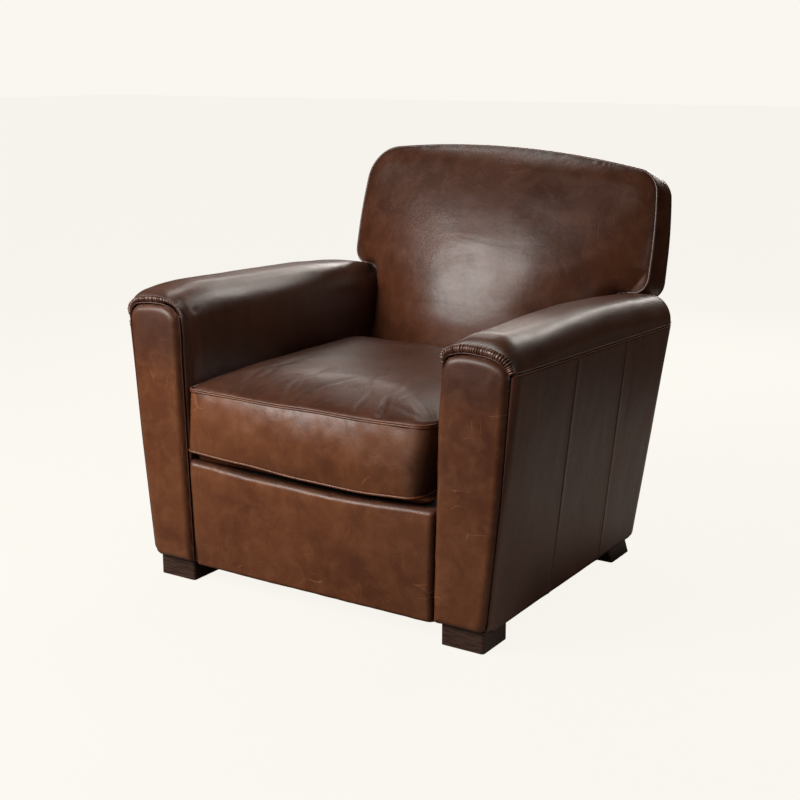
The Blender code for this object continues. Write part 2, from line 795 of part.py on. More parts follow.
def foot(name, x, distance, rake, bolt):
    """A square stained block with softened edges, a screwed-in bolt and a nylon glide."""
    shape = []
    half = FOOT / 2
    for z, shift in ((0.001, rake), (FOOT_TOP, 0.0)):
        corners = [
            (x, distance - half),
            (x + half, distance - half),
            (x + half, distance + half),
            (x - half, distance + half),
            (x - half, distance - half),
            (x - 0.001, distance - half),
        ]
        path = rounded(corners, (0.005, 0.005, 0.005, 0.005), 2)
        shape.append([(px, at(d + shift), z) for px, d in path])
    block = loft(name + "_foot", shape, STAINED)
    bolt_x, bolt_d = bolt
    cut(block, disc(name + "_foot_hole", bolt_x, bolt_d, BOLT + 0.0005, 0.018, 0.06, 10, STEEL))
    glide_d = distance + rake
    cut(block, disc(name + "_glide_seat", x, glide_d, 0.0145, -0.01, 0.0033, 16, STEEL))
    disc(name + "_glide", x, glide_d, 0.0140, 0.0, 0.0030, 16, NYLON)
    shank = disc(name + "_foot_bolt", bolt_x, bolt_d, BOLT, 0.0185, 0.0905, 10, STEEL)
    nut = disc(name + "_nut", bolt_x, bolt_d, 0.0070, 0.0843, 0.0900, 6, STEEL)
    nut.hide_render = True
    nut.display_type = "WIRE"
    joined = shank.modifiers.new("nut", "BOOLEAN")
    joined.operation = "UNION"
    joined.solver = "EXACT"
    joined.object = nut


def base():
    centre = FOOT_OUTER - FOOT / 2
    places = []
    for end, d, bolt_d in (("front", FOOT_FRONT + FOOT / 2, 0.085), ("rear", FOOT_REAR + FOOT / 2, 0.590)):
        for side, word in ((-1, "left"), (1, "right")):
            rake = 0.0 if end == "front" else FOOT_RAKE
            places.append((f"{end}_{word}", side * centre, d - rake, rake, bolt_d))
    bolts = [(name, x, bolt_d) for name, x, _, _, bolt_d in places]
    dust_cover(bolts)
    corner_blocks(bolts)
    for name, x, d, rake, bolt_d in places:
        foot(name, x, d, rake, (x, bolt_d))


# ---------------------------------------------------------------- the chair


def build():
    for old in list(bpy.data.objects):
        bpy.data.objects.remove(old, do_unlink=True)
    for side, name in ((-1, "left"), (1, "right")):
        side_frame(side, name)
        arm_cover(side, name)
        arm_padding(side, name)
        outside_arm(side, name)
        arm_facing(side, name)
    cross_rails()
    crest_rail()
    back_webbing()
    seat_springs()
    seat_deck()
    front_border()
    seat_cushion()
    inside_back()
    outside_back()
    base()


build()
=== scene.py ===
import math

import bpy
import numpy as np
from mathutils import Matrix, Vector, noise


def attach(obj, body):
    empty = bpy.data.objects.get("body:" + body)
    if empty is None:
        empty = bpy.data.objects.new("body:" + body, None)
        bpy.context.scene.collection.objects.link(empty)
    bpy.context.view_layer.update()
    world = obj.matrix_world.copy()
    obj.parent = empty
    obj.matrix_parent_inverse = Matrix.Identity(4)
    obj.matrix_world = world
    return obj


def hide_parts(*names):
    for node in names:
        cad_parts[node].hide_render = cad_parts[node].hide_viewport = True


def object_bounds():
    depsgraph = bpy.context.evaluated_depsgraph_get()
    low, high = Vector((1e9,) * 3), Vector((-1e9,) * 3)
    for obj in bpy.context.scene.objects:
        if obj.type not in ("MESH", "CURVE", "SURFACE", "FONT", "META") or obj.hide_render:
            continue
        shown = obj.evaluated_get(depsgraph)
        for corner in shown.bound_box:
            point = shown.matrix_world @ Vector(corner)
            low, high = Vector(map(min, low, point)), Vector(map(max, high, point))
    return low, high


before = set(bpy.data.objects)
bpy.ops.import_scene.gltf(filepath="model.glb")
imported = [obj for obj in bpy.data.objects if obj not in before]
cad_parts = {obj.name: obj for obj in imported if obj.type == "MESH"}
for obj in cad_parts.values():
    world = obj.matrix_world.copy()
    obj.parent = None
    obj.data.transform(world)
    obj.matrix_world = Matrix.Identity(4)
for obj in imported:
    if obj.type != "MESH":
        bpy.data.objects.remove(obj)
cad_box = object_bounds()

# ---------------------------------------------------------------- camera, floor and light
# A seated eye's height, off the chair's right front corner, with a normal lens. A broad soft
# key stands to the front left, a row of boxes high behind the chair makes the sheen on the
# arms and the cushion, and a painted pool of glow in the floor beside it, which only
# reflections see, is what the flared side mirrors.

scene = bpy.context.scene
FRONT = cad_box[0][1]

turn, pitch = math.radians(32.705), math.radians(13.81)
ahead = Vector((-math.sin(turn) * math.cos(pitch), math.cos(turn) * math.cos(pitch), -math.sin(pitch)))
across = Vector((math.cos(turn), math.sin(turn), 0.0))
above = across.cross(ahead)
camera = bpy.data.objects.new("camera", bpy.data.cameras.new("camera"))
camera.data.lens = 62.0
camera.data.sensor_width = 36.0
camera.matrix_world = Matrix.Translation((1.4635, FRONT - 1.9476, 1.0134)) @ Matrix(
    (across, above, -ahead)
).transposed().to_4x4()
scene.collection.objects.link(camera)
scene.camera = camera
scene.view_settings.view_transform = "Standard"
scene.view_settings.look = "None"


class Value:
    """An output socket of a material's nodes, with arithmetic that adds the nodes for it."""

    def __init__(self, tree, socket):
        self.tree = tree
        self.socket = socket

    def make(self, kind, settings=None, inputs=None, output=0):
        """Adds a node, sets it up, feeds its inputs and returns one of its outputs."""
        node = self.tree.nodes.new(kind)
        for key, value in (settings or {}).items():
            setattr(node, key, value)
        for key, value in (inputs or {}).items():
            if isinstance(value, Value):
                self.tree.links.new(value.socket, node.inputs[key])
            else:
                node.inputs[key].default_value = value
        return Value(self.tree, node.outputs[output])

    def math(self, operation, *values):
        return self.make("ShaderNodeMath", {"operation": operation}, dict(enumerate(values)))

    def __add__(self, other):
        return self.math("ADD", self, other)

    def __radd__(self, other):
        return self.math("ADD", other, self)

    def __sub__(self, other):
        return self.math("SUBTRACT", self, other)

    def __rsub__(self, other):
        return self.math("SUBTRACT", other, self)

    def __mul__(self, other):
        return self.math("MULTIPLY", self, other)

    def __rmul__(self, other):
        return self.math("MULTIPLY", other, self)

    def ramp(self, low, high, start=0.0, end=1.0):
        """Eases from start to end as the value goes from low to high."""
        inputs = {"Value": self, 1: low, 2: high, 3: start, 4: end}
        return self.make("ShaderNodeMapRange", {"interpolation_type": "SMOOTHSTEP"}, inputs)

    def scaled(self, factors):
        """The vector with each part multiplied."""
        return self.make("ShaderNodeVectorMath", {"operation": "MULTIPLY"}, {0: self, 1: factors})

    def shifted(self, other):
        return self.make("ShaderNodeVectorMath", {"operation": "ADD"}, {0: self, 1: other})

    def noise(self, scale, detail=3.0, rough=0.5, distortion=0.0):
        """Cloudy noise from 0 to 1 over this vector."""
        inputs = {"Vector": self, "Scale": scale, "Detail": detail, "Roughness": rough}
        inputs["Distortion"] = distortion
        return self.make("ShaderNodeTexNoise", None, inputs)

    def cracks(self, scale):
        """Distance to the edges of random cells over this vector."""
        inputs = {"Vector": self, "Scale": scale}
        return self.make("ShaderNodeTexVoronoi", {"feature": "DISTANCE_TO_EDGE"}, inputs)

    def blend(self, first, second):
        """Two colours mixed by this value."""
        return self.make("ShaderNodeMix", {"data_type": "RGBA"}, {0: self, 6: first, 7: second}, 2)


def new_material(name, roughness):
    """A material's Principled node, and its object-space position to build on."""
    made = bpy.data.materials.new(name)
    made.use_nodes = True
    shader = made.node_tree.nodes["Principled BSDF"]
    shader.inputs["Roughness"].default_value = roughness
    where = made.node_tree.nodes.new("ShaderNodeTexCoord").outputs["Object"]
    return made, shader, Value(made.node_tree, where)


def plug(value, shader, name):
    value.tree.links.new(value.socket, shader.inputs[name])


def bump(value, distance, strength=1.0):
    """A normal from a height in units of distance."""
    inputs = {"Height": value, "Distance": distance, "Strength": strength}
    return value.make("ShaderNodeBump", None, inputs)


paper, paper_shader, start = new_material("floor", 0.9)
seen = start.make("ShaderNodeLightPath")
distance = start.make("ShaderNodeVectorMath", {"operation": "LENGTH"}, {0: start}, 1)
spot = start.make("ShaderNodeSeparateXYZ", None, {0: start}).socket.node
beside, behind = (Value(paper.node_tree, spot.outputs[k]) for k in range(2))
# For the camera the floor glows evenly; for reflections it glows only in a warm pool beside the chair, a
# painted light that the flared side mirrors
painted_pool = distance.ramp(0.42, 0.60) * beside.ramp(0.72, 1.12, 1.0, 0.0) * distance.ramp(1.2, 1.8, 1.0, 0.0)
painted_pool = painted_pool * behind.ramp(-0.7, -0.2, 0.05, 0.23) + 0.006
plug(seen * 0.92 + (1.0 - seen) * painted_pool, paper_shader, "Emission Strength")
paper_shader.inputs["Base Color"].default_value = (0.05, 0.048, 0.045, 1.0)
paper_shader.inputs["Specular IOR Level"].default_value = 0.0
plug(seen.blend((1.0, 0.90, 0.78, 1.0), (1.0, 0.972, 0.912, 1.0)), paper_shader, "Emission Color")
floor = bpy.data.objects.new("floor", bpy.data.meshes.new("floor"))
floor.data.from_pydata([(-30, -30, 0), (30, -30, 0), (30, 30, 0), (-30, 30, 0)], [], [(0, 1, 2, 3)])
floor.data.materials.append(paper)
scene.collection.objects.link(floor)

world = bpy.data.worlds.new("studio")
scene.world = world
world.use_nodes = True
sky = world.node_tree
toward = Value(sky, sky.nodes.new("ShaderNodeTexCoord").outputs["Generated"])
seen = toward.make("ShaderNodeLightPath")
strength = seen.ramp(0.0, 1.0, 0.006, 0.955)
sky.links.new(strength.socket, sky.nodes["Background"].inputs["Strength"])
sky.nodes["Background"].inputs["Color"].default_value = (1.0, 0.972, 0.912, 1.0)


def softbox(name, place, size, watts, colour, target=(0.0, 0.0, 0.45)):
    """A rectangular area light that faces target."""
    light = bpy.data.objects.new(name, bpy.data.lights.new(name, "AREA"))
    light.data.shape = "RECTANGLE"
    light.data.size, light.data.size_y = size
    light.data.energy = watts
    light.data.color = colour
    light.location = place
    aim = Vector(target) - Vector(place)
    light.rotation_euler = aim.to_track_quat("-Z", "Y").to_euler()
    scene.collection.objects.link(light)


WARM = (1.0, 0.945, 0.88)
softbox("key", (-1.26, -2.10, 1.82), (2.1, 1.25), 86, (1.0, 0.98, 0.95))
softbox("front", (0.0, -2.75, 1.70), (1.2, 1.0), 4, (1.0, 0.95, 0.88), (0.0, 0.0, 0.4))
softbox("side", (2.92, -0.48, 0.77), (1.1, 0.95), 6, (1.0, 0.90, 0.80))
softbox("rear_left", (-1.75, 2.08, 1.73), (0.9, 0.6), 5, WARM)
softbox("rear_low", (-0.58, 2.72, 1.57), (1.8, 0.6), 33, WARM)
softbox("rear_middle", (-0.41, 2.33, 2.30), (1.2, 0.8), 6, WARM)
softbox("rear_right", (0.81, 2.22, 2.30), (0.95, 0.95), 18, WARM)
softbox("overhead", (-1.10, 1.32, 2.91), (0.95, 0.95), 10, (1.0, 0.96, 0.92))

# ---------------------------------------------------------------- leather
# Waxed pull-up hide, chestnut in front and dark umber on the arms and outside. It is
# mottled by hand dyeing, with fine pores, hairline creases and a few tan scratches under a
# soft wax gloss. One attribute darkens it: partly real darkening beside the seams, partly
# painted shade in gaps, creases and recesses and on sides away from the light. Another
# lightens it: partly rubbed wear on crowns and edges, partly painted highlight on ridges and
# lit rolls.


def leather(name, pale, body, dark, gloss, scratches, seed, drawn=1.0, shine=0.42):
    """Hide in three shades; drawn stretches its mottling upwards and shine is how far it is polished."""
    made, shader, here = new_material(name, 0.38)
    here = here.shifted((seed, 2.0 * seed, -seed))
    pulled = here.scaled((1.0, 1.0, drawn))
    drift = here.noise(3.2, 3.0, 0.5)
    cloud = pulled.noise(7.0, 4.0, 0.55, 0.6).ramp(0.30, 0.70)
    patch = pulled.noise(26.0, 5.0, 0.62, 0.5).ramp(0.38, 0.72)
    speck = here.noise(120.0, 3.0, 0.6).ramp(0.42, 0.78)
    colour = drift.ramp(0.34, 0.62).blend(dark, body)
    colour = (cloud * 0.55).blend(colour, body)
    colour = (patch * 0.42).blend(colour, pale)
    smudge = pulled.noise(12.0, 4.0, 0.6, 0.8).ramp(0.48, 0.72)
    colour = (smudge * 0.62).blend(colour, dark)
    colour = (speck * 0.14).blend(colour, dark)
    # The first attribute darkens the hide (real darkening beside seams, and painted shade); the second
    # lightens it (rubbed wear, and painted highlight)
    seam = here.make("ShaderNodeAttribute", {"attribute_name": "seam"}, None, 2)
    wear_and_highlight = here.make("ShaderNodeAttribute", {"attribute_name": "wear_and_highlight"}, None, 2)
    deep = tuple(0.30 * c for c in dark[:3]) + (1.0,)
    colour = (seam * 0.80).blend(colour, deep)
    colour = (wear_and_highlight * (0.30 + 0.5 * patch)).blend(colour, pale)
    # Hairline creases follow crazed cells; scratches are long thin cells, crossed
    bent = here.shifted(here.noise(9.0, 2.0, 0.5).scaled((0.05, 0.04, 0.03)))
    crease = bent.cracks(31.0).ramp(0.0, 0.030, 1.0, 0.0)
    crease = crease * here.noise(7.0, 2.0).ramp(0.52, 0.70)
    long_one = bent.scaled((1.0, 1.0, 0.14)).cracks(30.0).ramp(0.0, 0.013, 1.0, 0.0)
    long_two = bent.scaled((0.16, 1.0, 1.0)).cracks(26.0).ramp(0.0, 0.013, 1.0, 0.0)
    scratch = long_one * here.noise(11.0, 2.0).ramp(0.57, 0.68)
    scratch = scratch + long_two * here.noise(13.0, 2.0, 0.5, 0.4).ramp(0.57, 0.68)
    tan = tuple(min(1.0, 1.7 * c + 0.02) for c in pale[:3]) + (1.0,)
    colour = (scratch * scratches * (0.75 + wear_and_highlight)).blend(colour, tan)
    colour = (crease * 0.22).blend(colour, deep)
    plug(colour, shader, "Base Color")
    grain = here.cracks(430.0).ramp(0.0, 0.35)
    pores = here.noise(900.0, 2.0, 0.6)
    ripple = here.noise(48.0, 5.0, 0.62)
    height = grain * 0.10 + pores * 0.06 + ripple * 0.95 - crease * 0.35 - scratch * 0.12
    plug(bump(height, 0.0011, 0.50), shader, "Normal")
    rough = drift.ramp(0.3, 0.7, gloss - 0.03, gloss + 0.04) + patch * 0.07 + speck * 0.04 + seam * 0.22
    plug(rough - wear_and_highlight * 0.04, shader, "Roughness")
    shader.inputs["Specular IOR Level"].default_value = shine
    plug(cloud.ramp(0.0, 1.0, 0.22, 0.12), shader, "Coat Weight")
    shader.inputs["Coat Roughness"].default_value = 0.24
    return made


DARK_HIDE = ((0.165, 0.062, 0.032, 1), (0.112, 0.040, 0.021, 1), (0.066, 0.023, 0.012, 1))
chestnut = leather(
    "leather_chestnut", (0.252, 0.092, 0.035, 1), (0.168, 0.053, 0.019, 1), (0.094, 0.026, 0.011, 1),
    0.36, 0.60, 1.3,
)
umber = leather("leather_umber", *DARK_HIDE, 0.36, 0.14, 5.7, 0.35)
handled = leather("leather_handled", *DARK_HIDE, 0.36, 0.14, 5.7, 0.35, 0.82)
russet = leather(
    "leather_russet", (0.150, 0.052, 0.023, 1), (0.096, 0.030, 0.013, 1), (0.054, 0.018, 0.009, 1),
    0.31, 0.24, 9.1,
)

# ---------------------------------------------------------------- arm covers
# One hide runs from the seam on the outside, over the padded top and down inside the seat.
# At the front it is gathered over the edge and tucked behind the facing, and at the rear it
# closes under the back's ears.

BASE = 0.042
SEAM_FRONT, SEAM_FALL = 0.514, 0.034
CREST_AT = (0.000, 0.015, 0.030, 0.050, 0.080, 0.120, 0.200, 0.350, 0.500, 0.620, 0.700, 0.760)
CREST = {
    -1: (0.560, 0.571, 0.581, 0.5886, 0.593, 0.5947, 0.592, 0.588, 0.5834, 0.5747, 0.5656, 0.5540),
    1: (0.570, 0.5745, 0.5770, 0.5775, 0.577, 0.5770, 0.580, 0.580, 0.5715, 0.5607, 0.5525, 0.5430),
}


def at(distance):
    """Y of a distance behind the very front of the chair."""
    return FRONT + distance


def inner(z):
    """How far an arm's inside stands from the middle at height z."""
    return 0.279 + 0.0334 * (z - BASE)


def outer(z):
    """How far an arm's flared outside stands from the middle."""
    return 0.388 + 0.099 * (z - BASE)


def rear(z):
    """Distance of the leaning rear panel."""
    return 0.672 + 0.200 * (z - BASE)


def corner(z):
    """Radius of the rear corner, which grows upwards."""
    return 0.050 + 0.110 * (z - BASE)


def piping(z):
    """Distance of the back's piped edge."""
    return 0.722 + 0.246 * (z - 0.600)


def seam_height(distance):
    return SEAM_FRONT - SEAM_FALL * distance


def crest(side, distance):
    """Height of the ridge of an arm's top, which has settled lower on the right."""
    nearby = distance + np.linspace(-1, 1, 9) * min(0.03, 0.25 * distance)
    return float(np.interp(nearby, CREST_AT, CREST[side]).mean())


def filleted(corners, radii, straights, arc):
    """A path through corners with rounded bends: each straight has its own count of steps."""
    points = []
    start = np.array(corners[0], float)
    for k, radius in enumerate(radii):
        here = np.array(corners[k + 1], float)
        ahead_of = np.array(corners[k + 2], float)
        u = np.array(corners[k], float) - here
        v = ahead_of - here
        back, on = np.linalg.norm(u), np.linalg.norm(v)
        u, v = u / back, v / on
        half = math.acos(np.clip(u @ v, -1, 1)) / 2
        run = min(radius / math.tan(half), 0.95 * back, 0.95 * on)
        size = run * math.tan(half)
        middle = here + (u + v) / np.linalg.norm(u + v) * (size / math.sin(half))
        first, last = here + u * run, here + v * run
        for step in range(straights[k]):
            points.append(start + (first - start) * step / straights[k])
        a = math.atan2(*(first - middle)[::-1])
        swing = math.atan2(*(last - middle)[::-1]) - a
        swing = (swing + math.pi) % (2 * math.pi) - math.pi
        for step in range(arc):
            t = a + swing * step / arc
            points.append(middle + size * np.array((math.cos(t), math.sin(t))))
        start = last
    end = np.array(corners[-1], float)
    for step in range(straights[-1] + 1):
        points.append(start + (end - start) * step / straights[-1])
    return np.array(points)


def facing(grid):
    """Unit normals of a grid of points, rows by columns by 3."""
    found = np.cross(np.gradient(grid, axis=0), np.gradient(grid, axis=1))
    return found / np.maximum(np.linalg.norm(found, axis=2, keepdims=True), 1e-12)


def wander(grid, scale, seed=0.0):
    """Smooth noise from about -1 to 1 at each point of a grid."""
    flat = np.asarray(grid, float).reshape(-1, 3) * np.asarray(scale, float) + seed
    found = [noise.noise(Vector(p)) for p in flat.tolist()]
    return np.array(found).reshape(np.asarray(grid).shape[:-1])


def dent(value, centre, width):
    """1 at the centre and 0 away from it."""
    return np.exp(-(((value - centre) / width) ** 2))


def ease(value, low, high):
    """Goes smoothly from 0 at low to 1 at high."""
    share = np.clip((value - low) / (high - low), 0.0, 1.0)
    return share * share * (3 - 2 * share)


def placed(name, points, faces, material):
    """A smooth mesh that rides the chair's one body."""
    mesh = bpy.data.meshes.new(name)
    mesh.from_pydata(points, [], faces)
    mesh.polygons.foreach_set("use_smooth", [True] * len(mesh.polygons))
    mesh.materials.append(material)
    made = bpy.data.objects.new(name, mesh)
    scene.collection.objects.link(made)
    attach(made, "root")
    return made


def surface(name, grid, material, flip=False, wrap=False, seam=0.0, wear_and_highlight=0.0):
    """A smooth mesh over a grid of points; wrap joins its last column to its first."""
    rows, columns = grid.shape[:2]
    ids = np.arange(rows * columns).reshape(rows, columns)
    if wrap:
        ids = np.concatenate([ids, ids[:, :1]], axis=1)
    quads = np.stack([ids[:-1, :-1], ids[1:, :-1], ids[1:, 1:], ids[:-1, 1:]], axis=-1).reshape(-1, 4)
    if flip:
        quads = quads[:, ::-1]
    made = placed(name, grid.reshape(-1, 3).tolist(), quads.tolist(), material)
    for word, amount in (("seam", seam), ("wear_and_highlight", wear_and_highlight)):
        layer = made.data.attributes.new(word, "FLOAT", "POINT")
        values = np.broadcast_to(np.clip(amount, 0, 1), (rows, columns))
        layer.data.foreach_set("value", values.astype(np.float32).reshape(-1))
    return made


def ringed(path, radius, sides, closed=False):
    """Rings of points round a path."""
    if closed:
        tangent = np.roll(path, -1, 0) - np.roll(path, 1, 0)
    else:
        tangent = np.gradient(path, axis=0)
    tangent /= np.linalg.norm(tangent, axis=1, keepdims=True)
    radius = np.broadcast_to(radius, len(path))
    lean = np.array((0.0, 0.0, 1.0)) if abs(tangent[0][2]) < 0.9 else np.array((1.0, 0.0, 0.0))
    rings = []
    for here, ahead_of, size in zip(path, tangent, radius):
        lean = lean - ahead_of * (lean @ ahead_of)
        lean /= np.linalg.norm(lean)
        side = np.cross(ahead_of, lean)
        turns = np.arange(sides) * 2 * math.pi / sides
        rings.append(here + size * (np.outer(np.cos(turns), lean) + np.outer(np.sin(turns), side)))
    if closed:
        rings.append(rings[0])
    else:
        rings = [np.repeat(path[:1], sides, 0)] + rings + [np.repeat(path[-1:], sides, 0)]
    return np.array(rings)


def tube(name, path, radius, material, sides=10, closed=False):
    """A round welt along a path."""
    path = np.asarray(path, float)
    made = surface(name, ringed(path, radius, sides, closed), material, wrap=True, flip=True)
    return made


def along(path):
    """Distance along a path at each of its points."""
    return np.concatenate([[0.0], np.cumsum(np.linalg.norm(np.diff(path, axis=0), axis=1))])


def sampled(want, run, path):
    """A path's points at the wanted distances, where run is the distance at each point it has."""
    return np.stack([np.interp(want, run, column) for column in path.T], axis=1)


def spaced(path, count):
    """The same path with evenly spaced points."""
    path = np.asarray(path, float)
    run = along(path)
    return sampled(np.linspace(0, run[-1], count), run, path)


def edge_distance(flat, rim):
    """Distance from each point of a flat grid to the nearest point of its rim."""
    parts = np.array_split(flat.reshape(-1, 2), 8)
    close = [np.linalg.norm(part[:, None] - rim, axis=2).min(axis=1) for part in parts]
    return np.concatenate(close).reshape(flat.shape[:2])


ARM_COUNTS = ((12, 80, 130), 48)
PAD_SHAPE = {
    -1: (
        (0.4205, 0.510), (0.4180, 0.538), (0.4080, 0.549), (0.3800, 0.5555), (0.3540, 0.5572),
        (0.3300, 0.555), (0.3125, 0.547), (0.3025, 0.535), (0.2993, 0.515), (0.2985, 0.470),
        (0.2933, 0.290), (0.2850, 0.043),
    ),
    1: (
        (0.4205, 0.510), (0.4110, 0.5215), (0.3930, 0.5303), (0.3600, 0.5358), (0.3200, 0.534),
        (0.3010, 0.5265), (0.2925, 0.511), (0.2875, 0.470), (0.2816, 0.290), (0.2765, 0.043),
    ),
}


def corner_inset(distance, z):
    """How far the round rear corner has drawn a side in at this distance."""
    past = distance - (rear(z) - corner(z))
    return 0.0 if past <= 0 else corner(z) - math.sqrt(max(0.0, corner(z) ** 2 - past**2))


def arm_section(side, distance, inset=0.0):
    """Cross-section of an arm's cover, from the outside seam over the top to the floor inside."""
    top = crest(side, distance) - inset
    seam = seam_height(distance)
    near = float(1 - ease(np.array(distance), 0.03, 0.13))
    drawn = corner_inset(distance, seam) + inset + (0.0035 + 0.0005 * side) * near**2
    corners = [
        (outer(seam) - 0.0006 - drawn, seam),
        (0.4370 - drawn, top - 0.0095),
        (inner(top) + inset, top - 0.0115),
        (inner(0.043) + inset, 0.043),
    ]
    path = filleted(corners, (0.044 + 0.011 * side * near, 0.056), *ARM_COUNTS)
    crown = np.clip((path[:, 0] - corners[2][0]) * (corners[1][0] - path[:, 0]) / 0.0049, 0, 1)
    path[:, 1] += 0.0055 * crown * ease(path[:, 1], top - 0.060, top - 0.012)
    return path


def pad_edge(z):
    """How far a facing pad's edge stands inside the arm's outer side."""
    return 0.0060 + 0.0070 * float(ease(np.array(z), 0.25, 0.53))


def flowing(points, steps=24):
    """A smooth curve through points."""
    points = np.array(points, float)
    chord = along(points)
    slope = np.gradient(points, chord, axis=0)
    found = []
    for k in range(len(points) - 1):
        gap = chord[k + 1] - chord[k]
        t = np.linspace(0, 1, steps, endpoint=k == len(points) - 2)[:, None]
        found.append(
            (2 * t**3 - 3 * t**2 + 1) * points[k] + (t**3 - 2 * t**2 + t) * gap * slope[k]
            + (3 * t**2 - 2 * t**3) * points[k + 1] + (t**3 - t**2) * gap * slope[k + 1]
        )
    return np.concatenate(found)


def pad_outline(side, gap=0.0, outward=None, inward=None):
    """Outline of an arm's facing pad, from the outside at the seam over the top to the floor."""
    path = spaced(flowing(PAD_SHAPE[side]), 900)
    run = along(path)
    normal = np.gradient(path, axis=0)[:, ::-1] * (1, -1)
    normal /= np.linalg.norm(normal, axis=1, keepdims=True)
    outward = gap if outward is None else outward
    inward = gap if inward is None else inward
    leave, enter = ease(run, 0.0, 0.043 - 0.013 * side), ease(run, 0.120, 0.175)
    wide = outward + (gap - outward) * leave + (inward - gap) * enter
    path += normal * wide[:, None]
    share = along(arm_section(side, 0.050))
    run = along(path)
    return sampled(share / share[-1] * run[-1], run, path)


def arm_cover(side, name, seed):
    """An arm's hide: a tucked edge, the fold over the front, then section by section to the rear."""
    start = arm_section(side, 0.050)
    tuck = pad_outline(side, 0.0125 + 0.0010 * side, 0.0045 + 0.0015 * side, -0.0060)
    tuck[:, 0] = np.minimum(tuck[:, 0], start[:, 0] - 0.0006)
    run = along(tuck)
    count = len(start)
    inward = ease(run, 0.120, 0.175)
    lip = 0.0115 + 0.0065 * inward
    depth = 0.050 - lip
    rows = [(tuck, lip + deep) for deep in (0.016, 0.010, 0.005, 0.002)]
    for degrees in np.linspace(90, 0, 26)[:-1]:
        t = math.radians(degrees)
        sunk = (1 - math.sin(t)) ** (0.95 + 0.10 * side * (1 - inward))
        share = math.cos(t) ** 0.9 + (sunk - math.cos(t) ** 0.9) * 0.75 * inward
        rows.append((tuck + (start - tuck) * share[:, None], lip + depth * sunk))
    folded = len(rows)
    stations = [0.050, 0.056, 0.064, 0.074, 0.086, 0.102] + list(np.linspace(0.118, 0.690, 50))
    stations += [0.700, 0.708, 0.716, 0.726, 0.736, 0.744]
    for distance in stations:
        rows.append((arm_section(side, distance), np.full(count, distance)))
    for distance, inset in ((0.750, 0.003), (0.754, 0.008), (0.756, 0.016)):
        rows.append((arm_section(side, distance, inset), np.full(count, distance)))
    grid = np.array([np.column_stack([p[:, 0], at(np.asarray(d)), p[:, 1]]) for p, d in rows])
    # Low down the cover ends at the leaning rear panel
    grid[..., 1] = np.minimum(grid[..., 1], at(rear(grid[..., 2]) - 0.014))
    # The left cover stands proud of its facing inside, pressed out by the cushion
    back, high = grid[..., 1] - at(0), grid[..., 2]
    press = ease(back, 0.016, 0.040) * (1 - ease(back, 0.050, 0.190)) * ease(high, 0.34, 0.42)
    press *= (1 - ease(high, 0.46, 0.56)) * ease(run, 0.13, 0.18)
    grid[..., 0] -= 0.0022 * (1 - side) * press
    for _ in range(8):
        bend = grid[folded - 12 : folded + 7].copy()
        grid[folded - 11 : folded + 6] = (bend[:-2] + 2 * bend[1:-1] + bend[2:]) / 4
    out = facing(grid)
    # Faint puckers run back from the gathers
    random = np.random.default_rng(seed)
    pleats = np.zeros(count)
    for place in np.cumsum(random.uniform(0.004, 0.012, 26)):
        pleats -= random.uniform(0.2, 1.0) * dent(run, place, random.uniform(0.0010, 0.0022))
    fade = ease(run, 0.0, 0.010) * (1 - ease(run, 0.170, 0.215))
    reach = np.zeros(grid.shape[:2])
    reach[2:folded] = (np.linspace(1, 0, folded - 2) ** 1.5)[:, None]
    amount = 0.0010 * reach * (pleats * fade)[None, :]
    amount += 0.0011 * wander(grid, (9, 5, 9), seed) + 0.0005 * wander(grid, (34, 20, 34), seed + 3)
    amount[:folded] *= np.linspace(0.3, 1.0, folded)[:, None]
    if side < 0:
        dimple = dent(grid[..., 1], at(0.060), 0.0055) * dent(grid[..., 2], 0.543, 0.007)
        amount -= 0.0016 * dimple * (run > 0.12)
    grid = grid + out * amount[..., None]
    # Painted shade darkens the puckers' creases
    crease_shade = 0.5 * reach * np.clip(-pleats * fade, 0, 1)[None, :]
    seam_and_fold_shade = np.zeros_like(reach)
    # The hide is darker beside the outside seam. Painted shade darkens the front fold, most just above the
    # gathers and fading towards the top
    seam_and_fold_shade[:, :12] = np.linspace(0.6, 0.0, 12)[None, :]
    darkened = (0.80 * (1 - inward) + (0.22 + 0.13 * side) * inward)[None, :]
    darkened = darkened * np.linspace(1, 0, folded)[:, None] ** 1.2
    seam_and_fold_shade[:folded] = np.maximum(seam_and_fold_shade[:folded], darkened)
    # The inner part of the front fold is lightened: partly rubbed wear, partly a painted highlight on the
    # strip the key lights
    rub_and_highlight = np.zeros_like(reach)
    rub_and_highlight[8 : folded + 2] = (0.65 - 0.15 * side) * inward[None, :]
    grid[..., 0] *= side
    made = surface(name + "_arm_hide", grid, handled, flip=side < 0, seam=crease_shade + seam_and_fold_shade, wear_and_highlight=rub_and_highlight)
    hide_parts(name + "_arm_cover", name + "_arm_padding")


